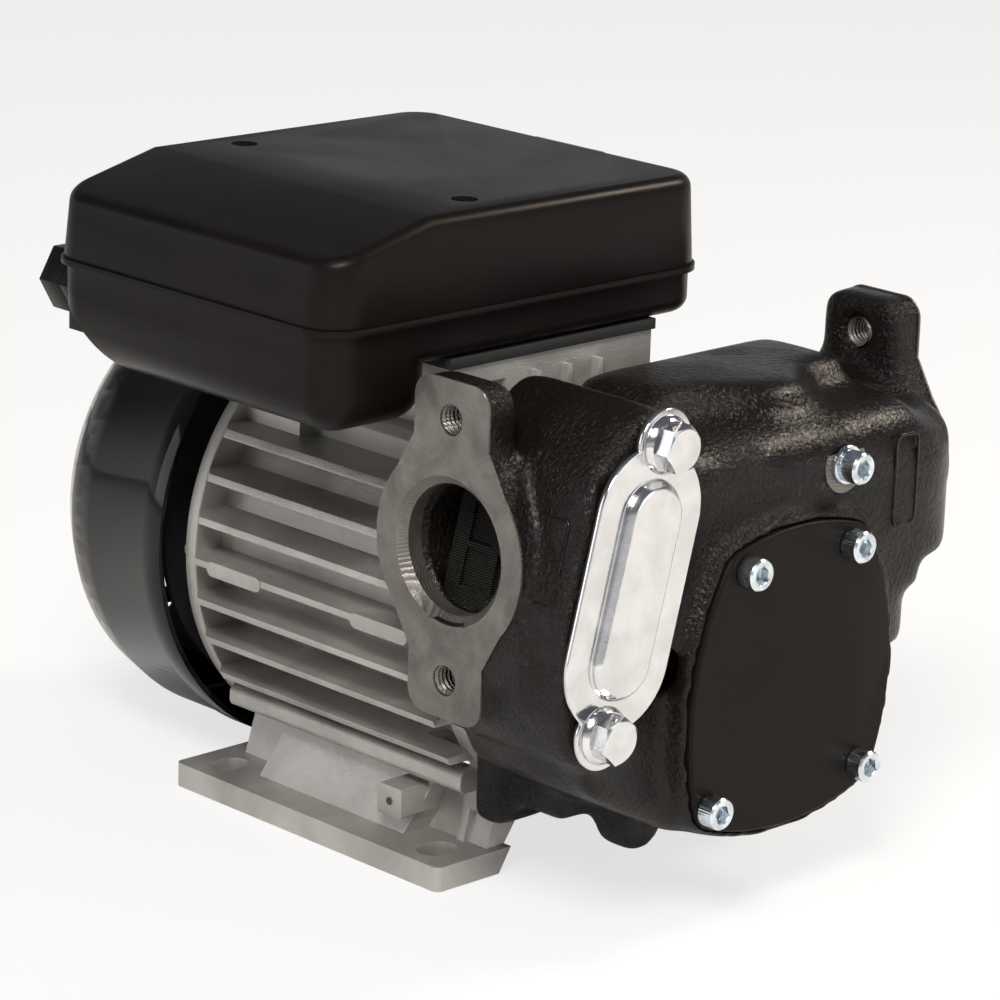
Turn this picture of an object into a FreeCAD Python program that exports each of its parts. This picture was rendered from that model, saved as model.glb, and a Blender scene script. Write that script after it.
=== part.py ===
import FreeCAD, Part
import math
import os

# Electric diesel transfer pump: a sliding-vane pump with a built-in strainer on the front
# of a foot-mounted single-phase motor. Millimetres. X runs across the pump from the inlet
# flange (-X) to the outlet flange (+X), Y runs along the shaft from the pump cover (-Y) to
# the fan (+Y), Z is up, and the origin is the middle of the four foot slots on the floor.

V = FreeCAD.Vector

# motor frame and feet
shaft_height = 80.0
foot_pitch_x = 125.0
foot_pitch_y = 100.0
foot_slot_width = 10.0
foot_slot_length = 14.0
foot_width = 149.0
foot_length = 126.0
foot_thickness = 8.0
foot_inner_half = 48.0
web_top_height = 30.0
frame_front = -62.0
frame_rear = 56.0
frame_core_radius = 62.0
stator_radius = 58.0
fin_envelope_radius = 77.0
fin_pitch = 13.6
fin_pairs = 3
fin_root = 4.2
fin_tip = 2.2
fin_pad_length = 26.0
fin_pad_height = 4.8
earth_boss = 10.0
earth_boss_y = -31.3
ear_offset = 47.0
ear_half = 13.0
ear_screw_radius = 3.0

# motor inside
rotor_core_radius = 33.5
air_gap = 0.4
core_half_length = 30.0
winding_overhang = 15.0
front_bearing_bore = 20.0
front_bearing_outside = 47.0
front_bearing_width = 14.0
rear_bearing_bore = 17.0
rear_bearing_outside = 40.0
rear_bearing_width = 12.0
ball_count = 8
wave_washer_height = 2.0
shaft_core_radius = 12.0
shaft_fan_radius = 7.0
shaft_end = 104.0

# cowl and fan
cowl_front = 67.0
cowl_collar_radius = 79.0
cowl_collar_length = 9.0
cowl_drum_radius = 78.2
cowl_drum_end = 104.0
cowl_shoulder_end = 117.0
cowl_shoulder_radius = 75.0
cowl_taper_end = 127.0
cowl_taper_radius = 68.0
cowl_rear = 133.0
cowl_wall = 1.8
cowl_slits = 4
cowl_slit_pitch = 12.0
cowl_slit_height = 6.5
cowl_slit_radius = 58.0
fan_radius = 66.0
fan_front = 80.0
fan_blade_length = 30.0
fan_blades = 8

# terminal box
box_left = -121.0
box_right = 38.5
box_front = -60.5
box_rear = 72.0
box_bottom = shaft_height + 88.0
tray_rise = 15.5
lid_rise = 29.5
box_parting = box_bottom + tray_rise
box_top = box_parting + lid_rise
box_deep_drop = 17.5
box_deep_bottom = box_bottom - box_deep_drop
box_deep_right = -76.0
box_ridge = -80.5
lid_facet_drop = 9.5
lid_draft = 2.5
box_corner = 13.0
box_wall = 2.6
rim_height = 2.0
gasket_thickness = 3.5
pad_left = -68.0
pad_right = 17.0
pad_front = -57.0
pad_rear = 50.0
lid_screw_x = -54.0
lid_screw_inset = 15.5
lid_recess_radius = 4.2
capacitor_radius = 15.2
capacitor_length = 78.0
gland_x = -97.5
gland_z = box_bottom + 2.0
gland_bore = 9.0
gland_body_radius = 10.0
switch_length = 30.0
switch_height = 19.0
switch_throw = 10.0
switch_pivot_radius = 2.4

# pump body
port_y = -85.0
port_z = shaft_height + 39.3
port_half_span = 95.0
port_bore_radius = 20.0
port_chamfer = 2.7
inlet_wall = 5.3
inlet_passage_radius = 18.5
port_hole_pitch = 80.0
hole_relief = 2.0
hole_relief_depth = 5.0
inlet_hole_radius = 5.0
outlet_hole_radius = 4.8
flange_thickness = 13.0
flange_round_radius = 31.0
lug_half_width = 15.75
lug_half_height = 52.0
body_face = -132.5
body_right = 66.0
body_top = port_z + 30.7
body_bend = 29.5
pad_top = body_top + 9.5
pump_front = -139.0
cover_thickness = 5.0
cover_half_width = 44.5
cover_low = shaft_height - 52.5
cover_high = shaft_height + 42.7
cover_rim = 2.6
cover_upper_screw_x = 23.0
cover_lower_left_x = 35.5
cover_lower_right_x = 31.0
cover_upper_screw_z = shaft_height + 32.6
cover_lower_screw_z = shaft_height - 39.7
cover_screw_radius = 3.0
o_ring_radius = 38.2
o_ring_width = 1.8
long_screw_x = 26.5
long_screw_z = port_z + 16.2
spot_radius = 9.0
long_washer_thickness = 1.6

# strainer and its cover
strainer_x = -67.2
strainer_z = port_z - 5.1
strainer_lean = 14.4
strainer_spacing = 44.0
strainer_chamber_radius = 14.0
strainer_chamber_spacing = 28.0
strainer_clearance = 0.6
strainer_windows = 4
strainer_rear = -70.0
filter_cover_radius = 21.3
filter_cover_thickness = 1.6
filter_bolt_spacing = 87.0
filter_ear_radius = 10.8
filter_bolt_radius = 4.0
filter_boss_radius = 11.5
filter_boss_spacing = 43.0
filter_boss_height = 3.2
filter_gasket_thickness = 1.0

# vane pump inside
chamber_radius = 36.0
chamber_offset = 4.5
chamber_front = pump_front + cover_thickness
chamber_rear = chamber_front + 26.0
rotor_clearance = 0.35
vane_count = 5
vane_thickness = 4.4
vane_slot_clearance = 0.35
vane_length = 12.0
vane_rest_radius = 30.6
shaft_pump_radius = 8.0
key_width = 5.0
seal_outer_radius = 13.0
seal_width = 7.0

# bypass valve
bypass_x = 60.0
bypass_y = -90.0
bypass_bore_radius = 10.5
bypass_seat_z = shaft_height + 4.0
bypass_seat_radius = 7.0
bypass_poppet_radius = 8.5
bypass_gap = 0.35
bypass_cap_top = bypass_seat_z - 32.0
bypass_boss_bottom = bypass_cap_top - 9.0
bypass_stem_radius = 3.5
spring_radius = 6.2
spring_wire = 0.7
spring_turns = 4.5

touch = 0.3


# Plain helpers
def box(x0, x1, y0, y1, z0, z1):
    return Part.makeBox(x1 - x0, y1 - y0, z1 - z0, V(x0, y0, z0))


def rod_x(r, x0, x1, y, z):
    return Part.makeCylinder(r, x1 - x0, V(x0, y, z), V(1, 0, 0))


def rod_y(r, y0, y1, x, z):
    return Part.makeCylinder(r, y1 - y0, V(x, y0, z), V(0, 1, 0))


def rod_z(r, z0, z1, x, y):
    return Part.makeCylinder(r, z1 - z0, V(x, y, z0), V(0, 0, 1))


def ring_y(r_out, r_in, y0, y1, x=0.0, z=shaft_height):
    return rod_y(r_out, y0, y1, x, z).cut(rod_y(r_in, y0 - 1, y1 + 1, x, z))


def sided_rod_y(sides, r, y0, y1, x, z):
    """A rod along Y with flat sides, its corners at radius r."""
    ring = []
    for k in range(sides):
        a = 2 * math.pi * (k + 0.5) / sides
        ring.append((x + r * math.cos(a), z + r * math.sin(a)))
    return prism_y(ring, y0, y1)


def sided_ring_y(r_out, r_in, y0, y1, x=0.0, z=shaft_height):
    """A ring with 24 flat sides for hidden pieces: its corners reach r_out, its flats r_in."""
    hole = sided_rod_y(24, flats_at(r_in), y0 - 1, y1 + 1, x, z)
    return sided_rod_y(24, r_out, y0, y1, x, z).cut(hole)


def flats_at(r):
    """The corner radius of a 24-sided rod whose flat sides lie at radius r."""
    return r / math.cos(math.pi / 24)


def shank_y(r, y0, y1, x, z):
    """The hidden part of a screw, or its hole, with eight flat sides."""
    return sided_rod_y(8, r, y0, y1, x, z)


def hexagon_y(across_flats, y0, y1, x, z):
    r = across_flats / math.sqrt(3.0)
    corners = [V(x + r * math.cos(math.radians(60 * k)), y0, z + r * math.sin(math.radians(60 * k)))
               for k in range(7)]
    return Part.Face(Part.makePolygon(corners)).extrude(V(0, y1 - y0, 0))


def hexagon_z(across_flats, z0, z1, x, y):
    solid = hexagon_y(across_flats, 0.0, z1 - z0, 0.0, 0.0)
    solid.rotate(V(0, 0, 0), V(1, 0, 0), 90)
    solid.translate(V(x, y, z0))
    return solid


def prism_y(points, y0, y1):
    ring = [V(x, y0, z) for x, z in points]
    return Part.Face(Part.makePolygon(ring + ring[:1])).extrude(V(0, y1 - y0, 0))


def prism_x(points, x0, x1):
    ring = [V(x0, y, z) for y, z in points]
    return Part.Face(Part.makePolygon(ring + ring[:1])).extrude(V(x1 - x0, 0, 0))


def prism_z(points, z0, z1):
    ring = [V(x, y, z0) for x, y in points]
    return Part.Face(Part.makePolygon(ring + ring[:1])).extrude(V(0, 0, z1 - z0))


def join(shapes):
    result = shapes[0].multiFuse(shapes[1:]) if len(shapes) > 1 else shapes[0]
    return result.removeSplitter()


def spun(points):
    """Turns a half profile of (radius, y) points about the shaft's axis."""
    ring = [V(r, y, shaft_height) for r, y in points]
    face = Part.Face(Part.makePolygon(ring + ring[:1]))
    return face.revolve(V(0, 0, shaft_height), V(0, 1, 0), 360)


def about_shaft(shape, degrees):
    turned = shape.copy()
    turned.rotate(V(0, 0, shaft_height), V(0, 1, 0), degrees)
    return turned


def wrap_y(circles, y0, y1):
    """Wraps a tight belt round circles (x, z, radius) given in turning order."""
    shapes = [rod_y(r, y0, y1, x, z) for x, z, r in circles]
    corners = []
    count = len(circles)
    for k in range(count):
        x1, z1, r1 = circles[k]
        x2, z2, r2 = circles[(k + 1) % count]
        gap = math.hypot(x2 - x1, z2 - z1)
        along = math.atan2(z2 - z1, x2 - x1)
        side = along - math.acos(max(-1.0, min(1.0, (r1 - r2) / gap)))
        corners.append((x1 + r1 * math.cos(side), z1 + r1 * math.sin(side)))
        corners.append((x2 + r2 * math.cos(side), z2 + r2 * math.sin(side)))
    shapes.append(prism_y(corners, y0, y1))
    return join(shapes)


def leaned(shape):
    """Leans a shape drawn upright at the strainer's middle to the strainer's slope."""
    turned = shape.copy()
    turned.rotate(V(strainer_x, 0, strainer_z), V(0, 1, 0), strainer_lean)
    return turned


def racetrack_y(radius, spacing, y0, y1):
    half = spacing / 2.0
    upright = [rod_y(radius, y0, y1, strainer_x, strainer_z + half),
               rod_y(radius, y0, y1, strainer_x, strainer_z - half),
               box(strainer_x - radius, strainer_x + radius, y0, y1,
                   strainer_z - half, strainer_z + half)]
    return leaned(join(upright))


def round_edges(shape, radius, wanted):
    edges = [e for e in shape.Edges if wanted(e)]
    return shape.makeFillet(radius, edges)


def bevel_front(shape, size, y):
    """Bevels all round the face that looks towards -Y at y."""
    return shape.makeChamfer(size, [e for e in shape.Edges if abs(e.BoundBox.YMax - y) < 1e-6])


def is_along(edge, axis):
    if len(edge.Vertexes) != 2:
        return False
    step = edge.Vertexes[1].Point.sub(edge.Vertexes[0].Point)
    straight = abs(step.Length - edge.Length) < 1e-6
    return straight and abs(abs(step.dot(axis)) - step.Length) < 1e-6


def socket_screw_y(radius, head_y, tip_y, x, z):
    """A socket-head cap screw along Y, head towards -Y, its underside at head_y."""
    head_r = radius * 5.0 / 3.0
    head_h = radius * 2.0
    head = rod_y(head_r, head_y - head_h, head_y, x, z)
    socket = hexagon_y(radius * 1.67, head_y - head_h - 1, head_y - head_h + radius, x, z)
    return head.cut(socket).fuse(shank_y(radius - 0.05, head_y, tip_y, x, z)).removeSplitter()


# Motor frame
def fin(height_step):
    z = shaft_height + height_step * fin_pitch
    r = fin_envelope_radius
    profile = [(-r, z - fin_tip / 2), (0, z - fin_root / 2), (r, z - fin_tip / 2),
               (r, z + fin_tip / 2), (0, z + fin_root / 2), (-r, z + fin_tip / 2)]
    return prism_y(profile, frame_front + 5, frame_rear)


def fin_envelope():
    r = fin_envelope_radius
    return spun([(0, frame_front), (r - 1, frame_front), (r, frame_front + 3),
                 (r, frame_rear - 5), (r - 4, frame_rear), (0, frame_rear)])


def foot(side):
    outer = foot_width / 2.0
    web_out = outer - 12.2
    inner_top = foot_inner_half - 20.0
    plate = [(-outer, 0), (-foot_inner_half, 0), (-foot_inner_half + 5, foot_thickness),
             (-outer, foot_thickness)]
    half = foot_length / 2.0
    sole = prism_y(plate, -half, half)
    sole = round_edges(sole, 2.5, lambda e: is_along(e, V(0, 0, 1)))
    web = prism_y([(-web_out, foot_thickness - 1), (-foot_inner_half + 4, foot_thickness - 1),
                   (-inner_top, web_top_height), (-web_out + 11.5, web_top_height)], -41, 36)
    web = web.common(prism_x([(-33, foot_thickness - 2), (36, foot_thickness - 2),
                              (30, web_top_height + 1), (-40.5, web_top_height + 1)], -90, 0))
    thin = prism_y([(-foot_inner_half - 3, foot_thickness - 1),
                    (-foot_inner_half + 4, foot_thickness - 1),
                    (-inner_top, web_top_height), (-inner_top - 16, web_top_height)],
                   -half + 3, frame_rear - 0.5)
    rib = prism_y([(-outer + 22, foot_thickness - 1), (-foot_inner_half, foot_thickness - 1),
                   (-inner_top - 10, web_top_height), (-inner_top - 19, web_top_height)],
                  -half + 12, -half + 15)
    rail = box(-60, -20, -half + 6, half - 10, web_top_height - 3, web_top_height + 4)
    rail = round_edges(rail, 2.4, lambda e: is_along(e, V(0, 1, 0)) and e.BoundBox.XMax < -50)
    parts = [sole, web, thin, rib, rail]
    for y in (-foot_pitch_y / 2, foot_pitch_y / 2):
        clear = rod_z(9.5, foot_thickness, foot_thickness + 12, -foot_pitch_x / 2, y)
        parts = [parts[0]] + [p.cut(clear) for p in parts[1:]]
    solid = join(parts)
    for y in (-foot_pitch_y / 2, foot_pitch_y / 2):
        run = (foot_slot_length - foot_slot_width) / 2.0
        x = -foot_pitch_x / 2
        r = foot_slot_width / 2
        slot = join([rod_z(r, -1, foot_thickness + 1, x - run, y),
                     rod_z(r, -1, foot_thickness + 1, x + run, y),
                     box(x - run, x + run, y - r, y + r, -1, foot_thickness + 1)])
        solid = solid.cut(slot)
    if side > 0:
        solid = solid.mirror(V(0, 0, 0), V(1, 0, 0))
    return solid


def earth_lug():
    x = -foot_width / 2 + 8.5
    z = foot_thickness + 6.3
    half = earth_boss / 2 + 0.5
    block = box(x, x + 16, earth_boss_y - half, earth_boss_y + half, z, z + earth_boss)
    return round_edges(block, 1.2, lambda e: is_along(e, V(1, 0, 0)))


def fin_pad(y):
    z = shaft_height - 0.6
    half = fin_pad_length / 2.0 - fin_pad_height / 2.0
    x = fin_envelope_radius
    pads = []
    for side in (-1, 1):
        x0 = min(side * (x - 6), side * (x + 0.4))
        x1 = max(side * (x - 6), side * (x + 0.4))
        pads.append(box(x0, x1, y - half, y + half, z - fin_pad_height / 2, z + fin_pad_height / 2))
        pads.append(rod_x(fin_pad_height / 2, x0, x1, y - half, z))
        pads.append(rod_x(fin_pad_height / 2, x0, x1, y + half, z))
    return pads


def box_pad():
    top = box_bottom - gasket_thickness
    plate = box(pad_left, pad_right, pad_front, pad_rear, top - 6, top)
    block = box(pad_left + 22, pad_right, pad_front, pad_rear, shaft_height + 40, top)
    ledge = box(pad_left + 6, pad_left + 24, pad_front, pad_rear, top - 14.5, top - 12.5)
    parts = [plate, block, ledge]
    for k in range(3):
        x = -34.5 + k * 13.2
        parts.append(box(x - 1, x + 1, pad_front - 3, pad_front + 1, top - 18, top - 5))
    return parts


def ear_places():
    return [(sx * ear_offset, shaft_height + sz * ear_offset) for sx in (-1, 1) for sz in (-1, 1)]


def motor_housing():
    z = shaft_height
    core = rod_y(frame_core_radius, frame_front, frame_rear, 0, z)
    fins = [fin(k) for k in range(-fin_pairs, fin_pairs + 2)]
    finned = join(fins).common(fin_envelope())
    front_ring = rod_y(frame_core_radius + 7, frame_front, frame_front + 8, 0, z)
    parts = [core, finned, front_ring, foot(-1), foot(1), earth_lug()] + box_pad()
    parts += fin_pad(32.0) + fin_pad(-36.5)
    for x, ez in ear_places():
        inner = 5.5 if ez < z else ear_half
        parts.append(box(x - inner, x + inner, frame_front, frame_front + 9,
                         ez - ear_half, ez + ear_half))
        parts.append(box(x * 0.98 - 6, x * 0.98 + 6, frame_rear - 26, frame_rear,
                         z + (ez - z) * 0.98 - 6, z + (ez - z) * 0.98 + 6))
    solid = join(parts)
    top = box_bottom - gasket_thickness
    cuts = [rod_y(stator_radius, frame_front + 6, frame_rear + 1, 0, z)]
    cuts.append(box(pad_left + 28, pad_right - 6, pad_front + 6, pad_rear - 6,
                    z + frame_core_radius + 4, top + 1))
    cuts.append(box(-21, -7, pad_rear - 21, pad_rear - 8, z + stator_radius - 12, top))
    for x, ez in ear_places():
        cuts.append(shank_y(ear_screw_radius + 0.3, frame_front - 1, frame_front + 12, x, ez))
        cuts.append(box(x - 8, x + 8, frame_front + 9, frame_front + 26, ez - 8, ez + 8))
    keep_hub = sided_rod_y(24, front_bearing_outside / 2 + 5.5, frame_front + 3,
                           frame_front + 6 + front_bearing_width, 0, z)
    solid = solid.cut(join(cuts)).fuse(keep_hub)
    pocket = sided_rod_y(24, front_bearing_outside / 2, frame_front + 6, frame_front + 60, 0, z)
    passage = rod_y(front_bearing_bore / 2 + 3, frame_front - 1, frame_front + 10, 0, z)
    return solid.cut(pocket).cut(passage).removeSplitter()


# Motor inside
def stator_core():
    return sided_ring_y(stator_radius, rotor_core_radius + air_gap, -core_half_length,
                        core_half_length)


def stator_windings():
    rings = []
    for side in (-1, 1):
        y0 = side * (core_half_length + 0.2)
        y1 = side * (core_half_length + winding_overhang)
        rings.append(sided_ring_y(54.0, 38.0, min(y0, y1), max(y0, y1)))
    return Part.makeCompound(rings)


def rotor_core():
    half = core_half_length + 7
    return sided_ring_y(rotor_core_radius, shaft_core_radius, -half, half)


def shaft_profile():
    front_seat = frame_front + 6
    rear_seat = rear_bearing_front()
    rf = front_bearing_bore / 2
    rr = rear_bearing_bore / 2
    return [(0, chamber_front + 1.0), (shaft_pump_radius, chamber_front + 1.0),
            (shaft_pump_radius, frame_front - 2), (rf, frame_front - 2),
            (rf, front_seat + front_bearing_width), (shaft_core_radius, front_seat + front_bearing_width),
            (shaft_core_radius, rear_seat), (rr, rear_seat), (rr, rear_seat + rear_bearing_width + 4),
            (shaft_fan_radius, rear_seat + rear_bearing_width + 4), (shaft_fan_radius, shaft_end),
            (0, shaft_end)]


def motor_shaft():
    body = spun(shaft_profile())
    key_seat = box(-key_width / 2, key_width / 2, chamber_front + 4, chamber_rear - 2,
                   shaft_height + shaft_pump_radius - 3, shaft_height + 20)
    groove = ring_y(shaft_fan_radius + 1, shaft_fan_radius - 0.6, clip_front(), clip_front() + 1.2)
    return body.cut(key_seat).cut(groove)


def rear_bearing_front():
    return frame_rear - 8.0


def bearing_race(bore, outside, width, front, outer):
    ball = ball_radius(bore, outside)
    pitch = (bore + outside) / 4.0
    if outer:
        race = sided_ring_y(outside / 2, pitch + ball + 0.08, front, front + width)
    else:
        race = sided_ring_y(pitch - ball - 0.08, bore / 2, front, front + width)
    return race


def ball_radius(bore, outside):
    return (outside - bore) / 2.0 * 0.26


def faceted_ball(radius, y, z):
    """A ball cut with flat facets: an eight-sided prism along each axis, in common."""
    ring = []
    for k in range(8):
        a = math.radians(45 * k + 22.5)
        ring.append((radius * math.cos(a), radius * math.sin(a)))
    solid = prism_y([(u, z + v) for u, v in ring], y - radius, y + radius)
    solid = solid.common(prism_x([(y + u, z + v) for u, v in ring], -radius, radius))
    return solid.common(prism_z([(u, y + v) for u, v in ring], z - radius, z + radius))


def ball_cage(bore, outside, width, front):
    ball = ball_radius(bore, outside)
    pitch = (bore + outside) / 4.0
    middle = front + width / 2.0
    band = sided_ring_y(pitch + ball * 0.3, pitch - ball * 0.3, middle - ball * 0.5,
                        middle + ball * 0.5)
    parts = [band]
    for k in range(ball_count):
        parts.append(about_shaft(faceted_ball(ball, middle, shaft_height + pitch),
                                 360.0 * k / ball_count))
    return join(parts)


def front_bearing_outer():
    return bearing_race(front_bearing_bore, front_bearing_outside, front_bearing_width,
                        frame_front + 6, True)


def front_bearing_inner():
    return bearing_race(front_bearing_bore, front_bearing_outside, front_bearing_width,
                        frame_front + 6, False)


def front_bearing_balls():
    return ball_cage(front_bearing_bore, front_bearing_outside, front_bearing_width, frame_front + 6)


def rear_bearing_outer():
    return bearing_race(rear_bearing_bore, rear_bearing_outside, rear_bearing_width,
                        rear_bearing_front(), True)


def rear_bearing_inner():
    return bearing_race(rear_bearing_bore, rear_bearing_outside, rear_bearing_width,
                        rear_bearing_front(), False)


def rear_bearing_balls():
    return ball_cage(rear_bearing_bore, rear_bearing_outside, rear_bearing_width,
                     rear_bearing_front())


def wave_washer():
    y = rear_bearing_front() + rear_bearing_width
    r = rear_bearing_outside / 2
    return sided_ring_y(r - 0.5, r - 3.5, y, y + wave_washer_height)


def cowl_arm_angles():
    return (90, 190, 350)


def rear_end_shield():
    z = shaft_height
    y = frame_rear
    disc = rod_y(fin_envelope_radius - 4, y, y + 5, 0, z)
    spigot = sided_rod_y(24, stator_radius, y - 5, y, 0, z)
    hub = sided_rod_y(24, rear_bearing_outside / 2 + 5, rear_bearing_front() - 1, y + 9, 0, z)
    parts = [disc, spigot, hub]
    for k in range(6):
        rib = box(-1.5, 1.5, y + 4, y + 8, z + 20, z + fin_envelope_radius - 6)
        parts.append(about_shaft(rib, 30 + 60 * k))
    outer = rod_y(cowl_collar_radius - cowl_wall - touch, y, y + 30, 0, z)
    for a in cowl_arm_angles():
        arm = box(-7, 7, y + 2, cowl_front + cowl_collar_length, z + fin_envelope_radius - 10,
                  z + 90)
        parts.append(about_shaft(arm, a).common(outer))
    solid = join(parts)
    seat_end = rear_bearing_front() + rear_bearing_width + wave_washer_height
    solid = solid.cut(sided_rod_y(24, rear_bearing_outside / 2, y - 20, seat_end, 0, z))
    solid = solid.cut(rod_y(rear_bearing_bore / 2 + 1.5, y - 20, y + 40, 0, z))
    return solid


def clip_front():
    return fan_front + 16.0


def fan():
    z = shaft_height
    hub = sided_rod_y(24, 14, fan_front - 6, clip_front(), 0, z)
    disc = rod_y(fan_radius, fan_front, fan_front + 2, 0, z)
    parts = [hub, disc]
    for k in range(fan_blades):
        blade = box(-1, 1, fan_front + 1, fan_front + fan_blade_length, z + 28, z + fan_radius - 1)
        web = prism_x([(fan_front + 1, z + 10), (fan_front + 1, z + 29),
                       (fan_front + fan_blade_length, z + 29), (clip_front() - 2, z + 10)], -1, 1)
        parts.append(about_shaft(join([blade, web]), 360.0 * k / fan_blades))
    return join(parts).cut(rod_y(shaft_fan_radius, 0, 200, 0, z))


def fan_clip():
    clip = ring_y(shaft_fan_radius + 3.5, shaft_fan_radius - 0.6, clip_front(), clip_front() + 1.2)
    gap = box(-2.5, 2.5, clip_front() - 1, clip_front() + 2, shaft_height, shaft_height + 20)
    return clip.cut(gap)


def cowl_profile():
    """The cowl's whole section: outside from the mouth to the back, then back inside."""
    c = cowl_collar_radius
    d = cowl_drum_radius
    t = cowl_taper_radius
    w = cowl_wall
    step = cowl_front + cowl_collar_length
    s = cowl_shoulder_radius
    return [(c, cowl_front), (c, step), (d, step), (d, cowl_drum_end), (s, cowl_shoulder_end),
            (t, cowl_taper_end), (t - 12, cowl_rear), (0, cowl_rear), (0, cowl_rear - w),
            (t - 12, cowl_rear - w), (s - w, cowl_shoulder_end), (c - w, cowl_drum_end),
            (c - w, cowl_front)]


def fan_cowl():
    slits = []
    for k in range(-cowl_slits, cowl_slits + 1):
        z = shaft_height + k * cowl_slit_pitch
        reach = math.sqrt(cowl_slit_radius ** 2 - (k * cowl_slit_pitch) ** 2)
        for x0, x1 in ((-reach, -3), (3, reach)):
            slits.append(box(x0, x1, cowl_rear - 6, cowl_rear + 2, z - cowl_slit_height / 2,
                             z + cowl_slit_height / 2))
    return spun(cowl_profile()).cut(Part.makeCompound(slits))


# Terminal box
def box_gasket():
    z1 = box_bottom
    z0 = box_bottom - gasket_thickness
    slab = box(pad_left - 2, pad_right + 1, pad_front - 1, pad_rear + 1, z0, z1)
    opening = box(pad_left + 28, pad_right - 8, pad_front + 8, pad_rear - 8, z0 - 1, z1 + 1)
    return slab.cut(opening)


def upright(shape, radius):
    """Rounds a block's upright corners."""
    return round_edges(shape, radius, lambda e: is_along(e, V(0, 0, 1)))


def round_bottom(shape, radius):
    """Rounds a block's lowest edges."""
    low = shape.BoundBox.ZMin
    return round_edges(shape, radius, lambda e: e.BoundBox.ZMax < low + 1e-6)


def tray_outline(inset, z_low, z_high):
    slab = box(box_left + inset, box_right - inset, box_front + inset, box_rear - inset,
               z_low, z_high)
    return upright(slab, box_corner - inset)


def tray_solid(inset):
    shallow = tray_outline(inset + 1.2, box_bottom + inset, box_parting + 0.5)
    shallow = round_bottom(shallow, 5.0 - inset)
    deep = box(box_left + inset + 1.2, box_deep_right - inset, box_front + inset + 1.2,
               box_rear - inset - 1.2, box_deep_bottom + inset, box_parting - 4)
    deep = upright(deep, box_corner - inset - 0.8)
    deep = round_bottom(deep, box_corner - inset - 1.4)
    tail = prism_x([(box_rear - 8, box_bottom), (box_rear - 31, box_deep_bottom - 0.1),
                    (box_rear + 30, box_deep_bottom - 20), (box_rear + 30, box_bottom)],
                   box_left - 10, box_right)
    return join([shallow, deep.cut(tail)])


def gland_seat():
    return box_rear + 2.0


def gland_boss():
    return box(gland_x - 13.0, gland_x + 13.0, box_rear - 24, gland_seat(), gland_z - 12.5,
               box_parting)


def box_tray():
    outer = join([tray_solid(0.0), gland_boss()])
    inner = tray_solid(box_wall)
    lift = box(box_left - 5, box_right + 5, box_front - 5, box_rear + 5, box_parting,
               box_parting + 5)
    solid = outer.cut(inner).cut(lift)
    rim = tray_outline(-0.8, box_parting - rim_height, box_parting)
    rim = rim.cut(tray_outline(box_wall + 0.4, box_parting - 5, box_parting + 1))
    solid = join([solid, rim])
    lid_posts = []
    for x, y in lid_screw_places():
        lid_posts.append(box(x - 4.5, x + 4.5, y - 4.5, y + 4.5, box_bottom + 1, box_parting))
    solid = join([solid] + lid_posts)
    cuts = [box(pad_left + 30, pad_right - 10, pad_front + 10, pad_rear - 10, box_bottom - 5,
                box_bottom + 5)]
    cuts.append(sided_rod_y(24, gland_thread_radius() + 0.25, box_rear - 40, box_rear + 5, gland_x,
                            gland_z))
    cuts.append(box(gland_x - 10, gland_x + 10, box_rear - 30, box_rear - box_wall - 3,
                    gland_z - 9.5, box_parting + 1))
    return solid.cut(join(cuts))


def lid_screw_places():
    return [(lid_screw_x, box_front + lid_screw_inset), (lid_screw_x, box_rear - lid_screw_inset)]


def lid_solid(inset):
    left = box_left + inset
    right = box_right - inset
    top = box_top - inset
    profile = [(left, box_parting - 1), (left + lid_draft, box_top - lid_facet_drop - inset * 0.7),
               (box_ridge, top), (right - lid_draft, top - 0.8), (right, box_parting - 1)]
    solid = prism_y(profile, box_front + inset, box_rear - inset)
    corners = round_edges(solid, box_corner - inset, lambda e: e.BoundBox.YLength < 1e-6 and
                          e.BoundBox.ZLength > 15)
    return round_edges(corners, max(0.6, 4.5 - inset), lambda e: is_lid_rim(e, inset))


def is_lid_rim(edge, inset):
    """Whether an edge runs round the lid's top, and isn't the ridge."""
    around = edge.BoundBox
    if around.ZMin < box_parting + 10:
        return False
    on_ridge = around.XLength < 1e-6 and abs(around.XMin - box_ridge) < 1e-6
    return not on_ridge


def box_lid():
    outer = lid_solid(0.0)
    below = box(box_left - 5, box_right + 5, box_front - 5, box_rear + 5, box_parting - 10,
                box_parting)
    outer = outer.cut(below)
    z = switch_middle()
    y = switch_y()
    land = box(box_right - 6, box_right, y - switch_length / 2 - 3, y + switch_length / 2 + 3,
               z - switch_height / 2 - 3, z + switch_height / 2 + 2)
    solid = join([outer.cut(lid_solid(box_wall)), land])
    posts = []
    for sx, sy in lid_screw_places():
        post = box(sx - 6, sx + 6, sy - 6, sy + 6, box_parting, box_top)
        posts.append(post.common(lid_solid(0.0)))
    solid = join([solid] + posts)
    cuts = []
    for sx, sy in lid_screw_places():
        cuts.append(rod_z(lid_recess_radius, box_top - 5.5, box_top + 5, sx, sy))
    cuts.append(box(box_right - 12, box_right + 5, y - switch_length / 2 - touch,
                    y + switch_length / 2 + touch, z - switch_height / 2 - touch,
                    z + switch_height / 2 + touch))
    return solid.cut(join(cuts))


def terminal_block():
    floor = box_bottom + box_wall
    x0 = pad_right - 8
    y0 = -30.0
    base = box(x0, x0 + 14, y0, y0 + 48, floor, floor + 4.2)
    posts = []
    for k in range(4):
        posts.append(box(x0, x0 + 14, y0 + 12 * k + 0.6, y0 + 12 * k + 11.4, floor + 4, floor + 9))
    return join([base] + posts)


def capacitor_axis():
    x = (box_left + box_deep_right) / 2.0 + 0.6
    z = box_deep_bottom + box_wall + capacitor_radius + 1.5
    return x, z


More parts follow.
